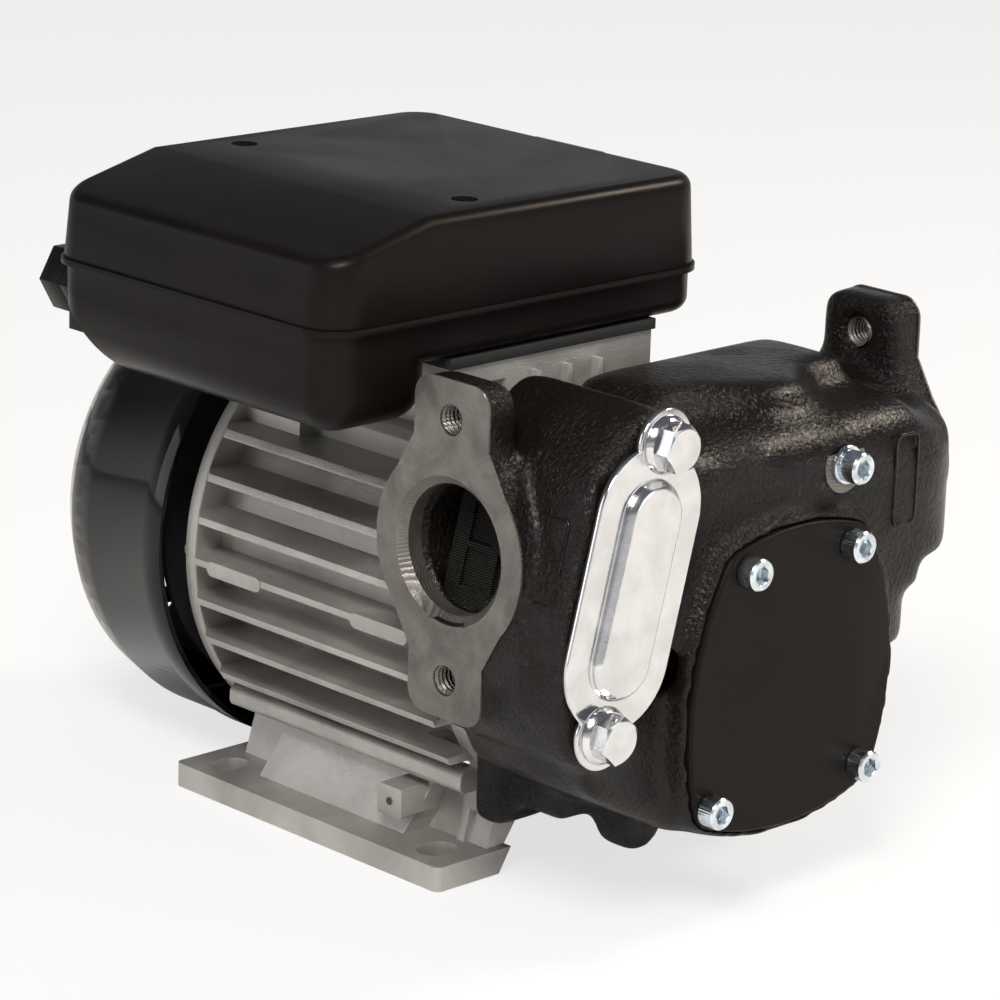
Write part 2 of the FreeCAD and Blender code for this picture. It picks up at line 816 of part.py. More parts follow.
def capacitor():
    x, z = capacitor_axis()
    y0 = box_front + 16
    y1 = y0 + capacitor_length
    can = rod_y(capacitor_radius, y0, y1, x, z)
    can = can.makeChamfer(1.2, [e for e in can.Edges if e.BoundBox.YLength < 1e-6])
    tabs = [box(x - 6, x - 3, y1 - 0.1, y1 + 7, z - 0.5, z + 0.5),
            box(x + 3, x + 6, y1 - 0.1, y1 + 7, z - 0.5, z + 0.5)]
    return join([can] + tabs)


def capacitor_clip():
    x, z = capacitor_axis()
    y0 = box_front + 45
    r = capacitor_radius
    band = ring_y(r + 0.9, r, y0, y0 + 12, x, z)
    return band.cut(box(x - 40, x + 40, y0 - 1, y0 + 13, z + 2, z + 60))


def switch_middle():
    return (box_parting + box_top) / 2.0 + 0.5


def switch_y():
    return 5.0


def switch_body():
    z = switch_middle()
    y = switch_y()
    hl = switch_length / 2
    hh = switch_height / 2
    face = box_right
    bezel = box(face, face + 2.0, y - hl - 2, y + hl + 2, z - hh - 2, z + hh + 2)
    bezel = round_edges(bezel, 2.0, lambda e: is_along(e, V(1, 0, 0)))
    case = box(face - 22, face, y - hl, y + hl, z - hh, z + hh)
    solid = join([bezel, case])
    well = box(face - 6, face + 5, y - hl + 3, y + hl - 3, z - hh + 2.5, z + hh - 2.5)
    tabs = [box(face - 29, face - 21.9, y + k * 8 - 0.4, y + k * 8 + 0.4, z - 3, z + 3)
            for k in (-1, 0, 1)]
    return join([solid.cut(well)] + tabs)


def switch_rocker():
    z = switch_middle()
    y = switch_y()
    hl = switch_length / 2 - 3.0 - 0.8
    hh = switch_height / 2 - 2.5 - 0.4
    face = box_right
    section = [(y - hl, face - 0.5), (y, face - 3.5), (y + hl, face - 0.5), (y + hl, face + 2.4),
               (y, face + 1.2), (y - hl, face + 2.4)]
    rocker = prism_z([(px, py) for py, px in section], z - hh, z + hh)
    rocker = join([rocker, rod_z(switch_pivot_radius, z - hh, z + hh, face - 2.0, y)])
    rocker.rotate(V(face - 2.0, y, 0), V(0, 0, 1), -switch_throw / 2)
    return rocker


def gland_thread_radius():
    return gland_body_radius - 2.0


def gland_body():
    seat = gland_seat()
    hexagon = hexagon_y(2 * gland_body_radius, seat, seat + 7, gland_x, gland_z)
    thread = sided_rod_y(24, gland_thread_radius(), seat - 12, seat, gland_x, gland_z)
    collar = sided_rod_y(24, gland_body_radius - 1.5, seat + 7, seat + 14, gland_x, gland_z)
    solid = join([hexagon, thread, collar])
    return solid.cut(sided_rod_y(24, gland_seal_radius(), seat - 20, seat + 20, gland_x, gland_z))


def gland_nut():
    seat = gland_seat()
    body = hexagon_y(2 * gland_body_radius, seat + 7, seat + 17.3, gland_x, gland_z)
    well = sided_rod_y(24, gland_body_radius - 1.5, seat + 6, seat + 14.3, gland_x, gland_z)
    return body.cut(well).cut(sided_rod_y(24, flats_at(gland_bore / 2 + 0.3), seat, seat + 30,
                                          gland_x, gland_z))


def gland_seal_radius():
    return gland_bore / 2 + 1.8


def gland_seal():
    seat = gland_seat()
    body = sided_rod_y(24, gland_seal_radius(), seat + 2, seat + 14.3, gland_x, gland_z)
    return body.cut(rod_y(gland_bore / 2, seat, seat + 30, gland_x, gland_z))


# Pump body
def bulged_plate(grow, y0, y1):
    """The four-sided cover outline with bulging sides, grown outwards evenly."""
    w = cover_half_width + grow
    xu = cover_upper_screw_x + 7 + grow * 0.7
    xl = cover_lower_left_x + 4 + grow * 0.7
    xr = cover_lower_right_x + 6 + grow * 0.7
    zu = cover_upper_screw_z + 5 + grow * 0.7
    zl = cover_lower_screw_z - 5 - grow * 0.7
    middle = (cover_low + cover_high) / 2.0
    p = [V(-xl, y0, zl), V(0, y0, cover_low - grow), V(xr, y0, zl), V(w, y0, middle - 4),
         V(xu, y0, zu), V(0, y0, cover_high + grow), V(-xu, y0, zu), V(-w, y0, middle - 4)]
    arcs = [Part.Arc(p[k], p[k + 1], p[(k + 2) % 8]).toShape() for k in (0, 2, 4, 6)]
    solid = Part.Face(Part.Wire(arcs)).extrude(V(0, y1 - y0, 0))
    return round_edges(solid, 9.0 + grow * 0.5, lambda e: is_along(e, V(0, 1, 0)))


def port_flange(side):
    """One port flange: a round face with a lug above and below."""
    x0 = min(side * port_half_span, side * (port_half_span - flange_thickness))
    x1 = x0 + flange_thickness
    lug = box(x0, x1, port_y - lug_half_width, port_y + lug_half_width, port_z - lug_half_height,
              port_z + lug_half_height)
    lug = round_edges(lug, 7.0, lambda e: is_along(e, V(1, 0, 0)))
    disc = rod_x(flange_round_radius, x0, x1, port_y, port_z)
    flare = prism_x([(port_y - flange_round_radius + 4, port_z + 14),
                     (port_y - lug_half_width, port_z + 33),
                     (port_y + lug_half_width, port_z + 33),
                     (port_y + flange_round_radius - 4, port_z + 14),
                     (port_y + flange_round_radius - 4, port_z - 14),
                     (port_y + lug_half_width, port_z - 33),
                     (port_y - lug_half_width, port_z - 33),
                     (port_y - flange_round_radius + 4, port_z - 14)], x0, x1)
    return join([lug, disc, flare])


def top_pad():
    nose = prism_z([(-10, port_y - 17), (8, port_y - 32), (24, port_y - 33), (42, port_y - 17)],
                   body_top - 12, pad_top)
    solid = join([box(-28, 61, port_y - 18, port_y + 19, body_top - 12, pad_top), nose])
    return round_edges(solid, 4.0, lambda e: is_along(e, V(0, 0, 1)))


def pump_casting():
    z = shaft_height
    rear = frame_front
    barrel = rod_x(flange_round_radius - 2, -port_half_span + 6, port_half_span - 6, port_y, port_z)
    behind = box(-78, 78, rear, rear + 60, port_z - 60, port_z + 60)
    barrel = barrel.cut(behind)
    centre = box(-58, body_right, body_face, rear - 4, port_z - 30, body_top)
    centre = round_edges(centre, 15.0, lambda e: is_along(e, V(1, 0, 0)) and e.BoundBox.ZMin >
                         body_top - 1 and e.BoundBox.YMax < body_face + 1)
    chamber = bulged_plate(cover_rim, pump_front - 0.5, rear - 3)
    chamber = bevel_front(chamber, 1.8, pump_front - 0.5)
    lean = math.radians(strainer_lean)
    up = (math.sin(lean), math.cos(lean))

    def place(distance):
        return strainer_x + up[0] * distance, strainer_z + up[1] * distance

    half = strainer_spacing / 2.0
    ear = filter_bolt_spacing / 2.0
    r = filter_cover_radius + 1.8
    low_ear = place(-ear) + (12.5,)
    low = place(-half) + (r,)
    high = place(half) + (r,)
    high_ear = place(ear) + (10.5,)
    strainer_block = wrap_y([low_ear, low, high, high_ear, high, low], body_face, -74)
    lower_left = wrap_y([(-64, z - 20, 15), (-36, z - 37, 13), (-30, z + 10, 20)],
                        body_face + 3, rear - 14)
    right_wall = wrap_y([(36, z - 18, 8), (50, z + 12, 8), (20, z + 10, 20), (20, z - 20, 18)],
                        body_face + 8, rear - 4)
    bend = body_bend
    outlet_boss = box(20, port_half_span - 1.5, body_face, port_y, port_z - 22, port_z + 24)
    outlet_boss = round_edges(outlet_boss, bend, lambda e: is_along(e, V(0, 0, 1)) and
                              e.BoundBox.XMin > 80 and e.BoundBox.YMax < body_face + 1)
    outlet_boss = round_edges(outlet_boss, 11.0, lambda e: e.BoundBox.ZMin > port_z + 23 and
                              e.BoundBox.YMin < port_y - 1 and e.BoundBox.XMax > 21)
    under_boss = box(20, body_right + 3, body_face, rear - 4, z - 9, port_z - 20)
    under_boss = round_edges(under_boss, 20.0, lambda e: is_along(e, V(0, 0, 1)) and
                             e.BoundBox.XMin > 60 and e.BoundBox.YMax < body_face + 1)
    rear_disc = rod_y(70, rear - 9, rear, 0, z).common(
        box(-80, 80, rear - 20, rear, z - 57, z + 90))
    bypass_boss = rod_z(bypass_bore_radius + 4, bypass_boss_bottom, port_z, bypass_x, bypass_y)
    hanging = rod_y(10, port_y - 21, port_y - 7, -28, z - 55)
    steps = box(-54, -30, port_y - 10, rear - 4, z - 53, z - 20)
    parts = [barrel, centre, chamber, strainer_block, lower_left, right_wall, outlet_boss,
             under_boss, rear_disc,
             bypass_boss, hanging, steps, port_flange(-1), port_flange(1), top_pad()]
    for x, ez in ear_places():
        lug = box(x - ear_half, x + ear_half, rear - 12, rear, ez - ear_half, ez + ear_half)
        parts.append(round_edges(lug, 4.0, lambda e: is_along(e, V(0, 1, 0))))
    return join(parts)


def pump_passages():
    z = shaft_height
    cuts = [racetrack_y(strainer_chamber_radius, strainer_chamber_spacing, body_face - 1,
                        strainer_rear)]
    inlet_end = -port_half_span + port_chamfer + inlet_wall
    cuts.append(rod_x(port_bore_radius, -port_half_span - 1, inlet_end, port_y, port_z))
    cuts.append(rod_x(inlet_passage_radius, inlet_end - 1, strainer_x, port_y, port_z))
    cuts.append(rod_x(port_bore_radius, body_right - 2, port_half_span + 1, port_y, port_z))
    for side in (-1, 1):
        cone = Part.makeCone(port_bore_radius + port_chamfer + 0.5, port_bore_radius,
                             port_chamfer + 0.5, V(side * (port_half_span + 0.5), port_y, port_z),
                             V(-side, 0, 0))
        cuts.append(cone)
        for up in (-1, 1):
            hole_z = port_z + up * port_hole_pitch / 2
            hole_r = inlet_hole_radius if side < 0 else outlet_hole_radius
            outer = side * (port_half_span + 1)
            back = side * (port_half_span - flange_thickness)
            end = back - side * hole_relief_depth
            cuts.append(rod_x(hole_r, min(outer, back), max(outer, back), port_y, hole_z))
            cuts.append(rod_x(hole_r + hole_relief, min(back, end), max(back, end), port_y,
                              hole_z))
    cuts.append(rod_y(chamber_radius, chamber_front - 1, chamber_rear, 0, z - chamber_offset))
    cuts.append(box(strainer_x, -30, chamber_front + 3, chamber_rear - 2, z - 2, z + 16))
    cuts.append(box(30, bypass_x - 10, chamber_front + 12, chamber_rear + 6, z - 6, z + 12))
    cuts.append(box(bypass_x - 12, body_right - 3, port_y - 26, port_y, z - 6, port_z))
    cuts.append(bulged_plate(touch, pump_front - 2, chamber_front))
    cuts.append(rod_y(shaft_pump_radius + 0.6, chamber_front, frame_front + 1, 0, z))
    cuts.append(sided_rod_y(24, seal_outer_radius, frame_front - 4 - seal_width, frame_front + 1,
                            0, z))
    cuts.append(rod_z(bypass_bore_radius, bypass_boss_bottom - 1, bypass_seat_z, bypass_x, bypass_y))
    cuts.append(rod_z(bypass_seat_radius, bypass_seat_z - 1, port_z - 15, bypass_x, bypass_y))
    cuts.append(box(strainer_x - 4, bypass_x, bypass_y - 4, bypass_y + 4, z - 24, z - 16))
    cuts.append(box(strainer_x - 4, strainer_x + 4, bypass_y - 4, bypass_y + 4, z - 20, z + 4))
    return cuts


def cover_screw_places():
    return [(-cover_upper_screw_x, cover_upper_screw_z),
            (cover_upper_screw_x, cover_upper_screw_z),
            (-cover_lower_left_x, cover_lower_screw_z),
            (cover_lower_right_x, cover_lower_screw_z)]


def filter_bolt_places():
    lean = math.radians(strainer_lean)
    half = filter_bolt_spacing / 2.0
    return [(strainer_x + s * half * math.sin(lean), strainer_z + s * half * math.cos(lean))
            for s in (-1, 1)]


def pump_body():
    solid = pump_casting()
    cuts = pump_passages()
    groove = sided_ring_y(o_ring_radius + o_ring_width / 2 + 0.1,
                          o_ring_radius - o_ring_width / 2 - 0.1, chamber_front - 1,
                          chamber_front + 1.6, 0, shaft_height - chamber_offset)
    for x, z in cover_screw_places():
        cuts.append(shank_y(cover_screw_radius, chamber_front - 1, chamber_front + 16, x, z))
    for x, z in filter_bolt_places():
        cuts.append(shank_y(filter_bolt_radius, body_face - 1, body_face + 15, x, z))
    cuts.append(shank_y(cover_screw_radius + 0.3, body_face - 1, frame_front + 1, long_screw_x,
                        long_screw_z))
    cuts.append(rod_y(spot_radius, body_face - 5, body_face + 0.6, long_screw_x, long_screw_z))
    for x, ez in ear_places():
        cuts.append(shank_y(ear_screw_radius, frame_front - 6, frame_front + 1, x, ez))
    solid = solid.cut(join(cuts))
    return solid.cut(groove).removeSplitter()


def mount_screws():
    screws = []
    for x, ez in ear_places():
        screw = socket_screw_y(ear_screw_radius, 0, 14, x, ez)
        screw.rotate(V(x, 0, ez), V(0, 0, 1), 180)
        screw.translate(V(0, frame_front + 9, 0))
        screws.append(screw)
    return Part.makeCompound(screws)


def long_screw():
    head_y = body_face + 0.6 - long_washer_thickness
    return socket_screw_y(cover_screw_radius, head_y, frame_front - 1, long_screw_x, long_screw_z)


def long_washer():
    y1 = body_face + 0.6
    disc = rod_y(6.2, y1 - long_washer_thickness, y1, long_screw_x, long_screw_z)
    return disc.cut(shank_y(cover_screw_radius + 0.2, y1 - 5, y1 + 1, long_screw_x, long_screw_z))


def pump_cover():
    plate = bulged_plate(0.0, pump_front, pump_front + cover_thickness)
    plate = bevel_front(plate, 0.6, pump_front)
    for x, z in cover_screw_places():
        plate = plate.cut(shank_y(cover_screw_radius + 0.3, pump_front - 1, chamber_front + 1, x, z))
    return plate


def cover_o_ring():
    return sided_ring_y(o_ring_radius + o_ring_width / 2, o_ring_radius - o_ring_width / 2,
                        chamber_front + 0.02, chamber_front + 1.5, 0, shaft_height - chamber_offset)


def cover_screws():
    return Part.makeCompound([socket_screw_y(cover_screw_radius, pump_front, chamber_front + 14,
                                             x, z) for x, z in cover_screw_places()])


def filter_outline(grow, y0, y1):
    """The strainer cover's outline: a racetrack with a round ear at each bolt."""
    plate = racetrack_y(filter_cover_radius + grow, strainer_spacing, y0, y1)
    ears = []
    for x, z in filter_bolt_places():
        ears.append(rod_y(filter_ear_radius + grow, y0, y1, x, z))
    return join([plate] + ears)


def filter_gasket():
    y1 = body_face
    y0 = body_face - filter_gasket_thickness
    sheet = filter_outline(-0.8, y0, y1)
    sheet = sheet.cut(racetrack_y(strainer_chamber_radius, strainer_chamber_spacing, y0 - 1,
                                  y1 + 1))
    for x, z in filter_bolt_places():
        sheet = sheet.cut(shank_y(filter_bolt_radius + 0.3, y0 - 1, y1 + 1, x, z))
    return sheet


def filter_cover():
    y1 = body_face - filter_gasket_thickness
    y0 = y1 - filter_cover_thickness
    h = filter_boss_height
    sheet = filter_outline(0.0, y0, y1)
    boss = racetrack_y(filter_boss_radius, filter_boss_spacing, y0 - h, y1)
    boss = bevel_front(boss, 1.8, y0 - h)
    hollow = racetrack_y(filter_boss_radius - filter_cover_thickness, filter_boss_spacing,
                         y1 - h, y1 + 1)
    solid = join([sheet, boss]).cut(hollow)
    for x, z in filter_bolt_places():
        solid = solid.cut(shank_y(filter_bolt_radius + 0.3, y0 - 5, y1 + 1, x, z))
    return solid


def filter_bolts():
    y = body_face - filter_gasket_thickness - filter_cover_thickness
    bolts = []
    for x, z in filter_bolt_places():
        flange = Part.makeCone(8.9, 6.8, 1.9, V(x, y, z), V(0, -1, 0))
        head = hexagon_y(13.0, y - 7.6, y - 1.5, x, z)
        shank = shank_y(filter_bolt_radius - 0.05, y, body_face + 13, x, z)
        bolts.append(join([flange, head, shank]))
    return Part.makeCompound(bolts)


def strainer():
    r = strainer_chamber_radius - strainer_clearance
    y0 = body_face
    y1 = strainer_rear - 2
    tube = racetrack_y(r, strainer_chamber_spacing, y0 + 0.3, y1)
    tube = tube.cut(racetrack_y(r - 1.2, strainer_chamber_spacing, y0 - 1, y1 - 1.2))
    windows = []
    length = (y1 - y0 - 8.0) / strainer_windows
    for k in range(strainer_windows):
        y = y0 + 5 + k * length
        for side in (-1, 1):
            z = strainer_z + side * strainer_chamber_spacing / 4.0
            reach = strainer_chamber_spacing / 4.0 - 1.0
            windows.append(box(strainer_x - 30, strainer_x + 30, y, y + length - 3, z - reach,
                               z + reach))
    return tube.cut(leaned(Part.makeCompound(windows)))


# Vane pump inside
def pump_rotor():
    z = shaft_height
    r = chamber_radius - chamber_offset - rotor_clearance
    y0 = chamber_front + 0.35
    y1 = chamber_rear - 0.35
    solid = rod_y(r, y0, y1, 0, z)
    slot_bottom = vane_rest_radius - vane_length - 0.4
    half = vane_thickness / 2 + vane_slot_clearance
    for k in range(vane_count):
        slot = box(-half, half, y0 - 1, y1 + 1, z + slot_bottom, z + r + 5)
        solid = solid.cut(about_shaft(slot, 180 + 360.0 * k / vane_count))
    solid = solid.cut(rod_y(shaft_pump_radius, y0 - 1, y1 + 1, 0, z))
    return solid.cut(box(-key_width / 2, key_width / 2, y0 - 1, y1 + 1, z, z + shaft_pump_radius + 2.2))


def vane(index):
    z = shaft_height
    y0 = chamber_front + 0.45
    y1 = chamber_rear - 0.45
    blade = box(-vane_thickness / 2, vane_thickness / 2, y0, y1, z + vane_rest_radius - vane_length,
                z + vane_rest_radius)
    blade = blade.makeChamfer(1.2, [e for e in blade.Edges if is_along(e, V(0, 1, 0)) and
                                    e.BoundBox.ZMin > z + vane_rest_radius - 1])
    return about_shaft(blade, 180 + 360.0 * index / vane_count)


def shaft_key():
    z = shaft_height + shaft_pump_radius
    return box(-key_width / 2, key_width / 2, chamber_front + 4, chamber_rear - 2, z - 3, z + 2)


def shaft_seal():
    y0 = frame_front - 4 - seal_width
    y1 = frame_front - 4
    r = seal_outer_radius
    return sided_ring_y(r, shaft_pump_radius + 0.35, y0, y1)


def bypass_poppet():
    top = bypass_seat_z - bypass_gap
    head = rod_z(bypass_poppet_radius, top - 4, top, bypass_x, bypass_y)
    stem = rod_z(bypass_stem_radius, bypass_cap_top + 8, top - 3, bypass_x, bypass_y)
    return join([head, stem])


def bypass_spring():
    """A coil of square wire, drawn as sections lofted round its helix."""
    w = spring_wire
    z0 = bypass_cap_top + w
    z1 = bypass_seat_z - bypass_gap - 4 - w
    steps = int(spring_turns * 10)
    sections = []
    for k in range(steps + 1):
        a = 2 * math.pi * k / 10
        z = z0 + (z1 - z0) * k / steps
        loop = []
        for out, up in ((-w, -w), (w, -w), (w, w), (-w, w)):
            r = spring_radius + out
            loop.append(V(bypass_x + r * math.cos(a), bypass_y + r * math.sin(a), z + up))
        sections.append(Part.makePolygon(loop + loop[:1]))
    return Part.makeLoft(sections, True, True)


def bypass_cap():
    seat = bypass_boss_bottom
    plug = rod_z(bypass_bore_radius, seat, bypass_cap_top, bypass_x, bypass_y)
    head = hexagon_z(19.0, seat - 8, seat - 2.4, bypass_x, bypass_y)
    collar = rod_z(bypass_bore_radius + 2.5, seat - 2.5, seat, bypass_x, bypass_y)
    return join([plug, head, collar])


def build():
    os.makedirs("parts", exist_ok=True)
    pieces = [motor_housing, stator_core, stator_windings, rotor_core, motor_shaft,
              front_bearing_outer, front_bearing_inner, front_bearing_balls, rear_bearing_outer,
              rear_bearing_inner, rear_bearing_balls, wave_washer, rear_end_shield, fan, fan_clip,
              fan_cowl, box_gasket, box_tray, box_lid, terminal_block, capacitor, capacitor_clip,
              switch_body, switch_rocker, gland_body, gland_nut, gland_seal, pump_body,
              mount_screws, long_screw, long_washer, pump_cover, cover_o_ring, cover_screws,
              filter_gasket, filter_cover, filter_bolts, strainer, pump_rotor, shaft_key,
              shaft_seal, bypass_poppet, bypass_spring, bypass_cap]
    for make in pieces:
        make().exportStep("parts/" + make.__name__ + ".step")
    for index in range(vane_count):
        vane(index).exportStep("parts/vane_" + str(index + 1) + ".step")


build()
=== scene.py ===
import math

import bmesh
import bpy
from mathutils import Matrix, Vector


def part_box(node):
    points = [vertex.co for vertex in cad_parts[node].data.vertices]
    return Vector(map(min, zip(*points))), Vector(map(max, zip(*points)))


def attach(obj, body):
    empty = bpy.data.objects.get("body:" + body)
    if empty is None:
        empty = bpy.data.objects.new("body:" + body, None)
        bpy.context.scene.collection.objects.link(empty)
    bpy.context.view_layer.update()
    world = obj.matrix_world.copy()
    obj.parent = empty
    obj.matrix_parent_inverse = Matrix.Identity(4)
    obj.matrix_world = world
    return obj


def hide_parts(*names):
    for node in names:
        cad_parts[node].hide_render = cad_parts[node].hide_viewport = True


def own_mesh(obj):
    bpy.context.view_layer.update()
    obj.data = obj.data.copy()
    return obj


bl_info = {
    "name": "Diesel transfer pump",
    "version": (1, 0, 0),
    "blender": (4, 5, 0),
    "location": "View3D > Sidebar > Pump",
    "description": "Dresses a foot-mounted diesel transfer pump around its packed CAD frame",
    "category": "Object",
}

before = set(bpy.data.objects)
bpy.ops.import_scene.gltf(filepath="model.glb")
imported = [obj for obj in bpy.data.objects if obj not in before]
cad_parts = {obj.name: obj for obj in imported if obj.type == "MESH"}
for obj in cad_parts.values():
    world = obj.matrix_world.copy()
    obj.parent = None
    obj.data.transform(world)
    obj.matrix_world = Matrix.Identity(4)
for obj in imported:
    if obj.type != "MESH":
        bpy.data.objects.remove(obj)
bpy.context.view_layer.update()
PUMP_SLOT = "pump_paint"

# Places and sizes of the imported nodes, in metres
SHAFT_Z = 0.080
PORT_Y = -0.085
PORT_Z = 0.1193
PORT_FACE = 0.095
PORT_BORE = 0.020
PORT_CHAMFER = 0.0027
PORT_HOLE_PITCH = 0.080
BORE_END = 0.0869
FLANGE_RADIUS = 0.031
FLANGE_THICKNESS = 0.013
BODY_FACE = -0.1325
PUMP_FRONT = -0.139
STRAINER = (-0.0672, 0.1142)
STRAINER_LEAN = math.radians(14.4)
LONG_SCREW = (0.0265, 0.1355)
SPOT_RADIUS = 0.009
SPOT_PLANE = BODY_FACE + 0.0006
VANE_BORE_Z = SHAFT_Z - 0.0045
VANE_BORE_RADIUS = 0.036
VANE_BORE_REAR = -0.108
BOX_TOP = 0.213

# How shapes are merged, rounded and shaded
MERGE_GAP = 1e-6
MERGE_TURN = math.radians(0.6)
BROAD_FACE = 3e-4
BROAD_TURN = math.radians(4.0)

# The pump casting's soft skin: what stays crisp, and the room kept round cut faces and vanes
SKIN_GAP = 0.0006
SKIN_DEPTH = 0.00035
HOLD_BAND = 0.003
WALL_BESIDE_FLANGE = 0.0925
PASSAGE_RADIUS = 0.015
SPOT_GAP = 0.0004
PAD_BOTTOM = 0.130
PAD_HALF_WIDTH = 0.080
PAD_LENGTH = 0.075
SCREW_SURROUND = 0.011
BORE_EASE = 0.0009
BORE_CORNER = 0.004

# The bare cut faces
FACE_TOLERANCE = 2e-5
BORE_UNDER = 0.0002
BORE_OVER = 0.0004
SPOT_OVER = 0.0001
CUT_DEPTH = 0.0007

# Screws: places on the front, radii, lengths and turns, and where the small ones sit
COVER_SCREWS = ((-0.023, 0.1126), (0.023, 0.1126), (-0.0355, 0.0403), (0.031, 0.0403))
COVER_SCREW_LENGTH = 0.019
COVER_SCREW_TURNS = (0.35, 1.15, 1.95, 2.75)
LONG_SCREW_LENGTH = 0.070
LONG_SCREW_TURN = 0.2
SOCKET_SCREW_RADIUS = 0.003
THREAD_CLEARANCE = 0.00005
WASHER_THICKNESS = 0.0016
WASHER_SECTION = ((0.0032, 0), (0.0062, 0), (0.0064, 0.0003), (0.0064, 0.0013),
                  (0.0061, WASHER_THICKNESS), (0.0032, WASHER_THICKNESS))
WASHER_SHARE = 0.968
FILTER_BOLT_SPACING = 0.087
FILTER_BOLT_RADIUS = 0.004
FILTER_BOLT_LENGTH = 0.0155
FILTER_BOLT_TURNS = (0.30, 0.12)
FILTER_BOLT_HEAD = (0.013, 0.0076, 0.0089)
FILTER_SHEET = 0.0016
FILTER_GASKET = 0.001
LID_SCREW_X = -0.054
LID_SCREW_INSET = 0.0155
LID_SCREW_DEPTH = 0.0055
LID_SCREW_HEAD = (0.0034, 0.002)
COWL_SCREW_Y = 0.0715
COWL_SCREW_REACH = 0.0786
COWL_SCREW_ANGLES = (90, 190, 350)
COWL_SCREW_HEAD = (0.0035, 0.0022)
SHIELD_SCREW_Y = 0.061
SHIELD_SCREW_REACH = 0.064
SHIELD_SCREW_ANGLES = (15, 105, 195, 285)
SHIELD_SCREW_HEAD = (0.0045, 0.003)

# The thread seen in the flange holes
THREAD_ROOT = 0.00478
THREAD_DEPTH = 0.0007
THREAD_FLAT = (0.42, 0.58)
THREAD_LEAD = 0.0004
THREAD_RUNOUT = 0.0015
THREAD_STEPS = 24

# Small details
MARK_CORNER = 0.003
MARK_BAND = 0.0009
MARK_LIFT = 0.0006
MARK_SINK = 0.0003
FRONT_MARK = (0.011, 0.030)
FRONT_MARK_PLACE = (0.0545, 0.126)
SIDE_MARK = (0.012, 0.027)
SIDE_MARK_PLACE = (-0.0231, -0.120, 0.004)
EARTH_BOSS = (-0.0662, -0.0314, 0.0193)
EARTH_CENTRE_RADIUS = 0.0013
CLOTH_RADIUS = 0.0120
CLOTH_HALF_SPACING = 0.014
CLOTH_FRONT_INSET = 0.003
CLOTH_REAR_INSET = 0.002
LINER_RADIUS = 0.0579
LINER_WALL = 0.0009
LINER_FRONT = -0.0555
LINER_REAR = -0.0305

# The photo's camera, fitted to the port flange, the foot and the fins
CAMERA_AZIMUTH = math.radians(-44.35)
CAMERA_ELEVATION = math.radians(16.15)
CAMERA_ROLL = math.radians(1.83)
CAMERA_TARGET = (0.00503, -0.00399, 0.09854)
CAMERA_DISTANCE = 1.37877
CAMERA_LENS = 153.23

# The studio: what lights the pump, what it mirrors, and the floor
AMBIENT_TINT = (1.0, 0.99, 0.975, 1.0)
AMBIENT_STRENGTH = 0.34
HORIZON = (0.9, 0.9, 0.9, 1.0)
CEILING = (0.16, 0.17, 0.20, 1.0)
HORIZON_HEIGHT = 0.35
MIRRORED_STRENGTH = 0.8
WHITE = (1.0, 1.0, 1.0, 1.0)
FLOOR_COLOUR = (0.86, 0.86, 0.86, 1.0)
FLOOR_HALF_SIZE = 6.0
FLOOR_DROP = 0.0002
FLOOR_GLOW = 0.72
LAMP_AIM = Vector((0.0, -0.02, 0.1))
# Name, place, size, power in watts and tint of each lamp
LAMPS = (
    ("key", (-1.1, -0.85, 1.45), 0.6, 34.0, (1.0, 0.98, 0.95)),
    ("edge", (1.1, -0.45, 1.15), 0.4, 13.0, (1.0, 0.88, 0.74)),
    ("fill", (0.6, -1.7, 0.5), 1.0, 4.0, (0.96, 0.98, 1.0)),
    ("back", (-1.4, 1.0, 0.5), 0.8, 3.0, (0.95, 0.97, 1.0)),
)

# Node, name of its rounded copy, edge width, segments, finish, slot and the turn that is rounded
SOFTENED = (
    ("box_lid", "lid_moulding", 0.0006, 2, "box_plastic", "box_plastic", 35.0),
    ("box_tray", "tray_moulding", 0.0005, 2, "box_plastic", "box_plastic", 35.0),
    ("fan_cowl", "cowl_moulding", 0.0004, 2, "cowl_plastic", "cowl_plastic", 35.0),
    ("pump_cover", "cover_plate", 0.0003, 2, "smooth_black", PUMP_SLOT, 35.0),
    ("filter_cover", "strainer_cover_sheet", 0.0005, 3, "zinc_sheet", "zinc_cover", 25.0),
    ("filter_gasket", "strainer_cover_gasket", 0.0001, 1, "gasket", "gasket_sheet", 35.0),
    ("switch_body", "switch_frame", 0.0004, 2, "rocker", "switch_plastic", 35.0),
    ("gland_body", "gland_thread_body", 0.0005, 2, "box_plastic", "box_plastic", 35.0),
    ("gland_nut", "gland_dome_nut", 0.0006, 2, "box_plastic", "box_plastic", 35.0),
    ("bypass_cap", "bypass_plug", 0.0004, 2, "brass", "brass_cap", 35.0),
    ("box_gasket", "box_seal", 0.0003, 2, "rubber", "seal_rubber", 35.0),
)


class PumpSizes(bpy.types.PropertyGroup):
    """Sizes of the details that stand on the frame."""

    casting_voxel: bpy.props.FloatProperty(
        name="Casting grid", description="Grid on which the pump casting's blends are formed",
        default=0.0013, min=0.0008, max=0.003, subtype="DISTANCE", unit="LENGTH")
    casting_rounds: bpy.props.IntProperty(
        name="Casting smoothing", description="How often the casting's edges are softened",
        default=22, min=0, max=80)
    pad_rounds: bpy.props.IntProperty(
        name="Top pad smoothing", description="How often the soft pad on the casting is softened",
        default=60, min=0, max=200)
    frame_edge: bpy.props.FloatProperty(
        name="Frame edge", description="Rounding on the motor frame's cast edges",
        default=0.0006, min=0.0, max=0.002, subtype="DISTANCE", unit="LENGTH")
    thread_pitch: bpy.props.FloatProperty(
        name="Port thread pitch", description="Pitch of the thread in the flange holes",
        default=0.0015, min=0.0005, max=0.003, subtype="DISTANCE", unit="LENGTH")


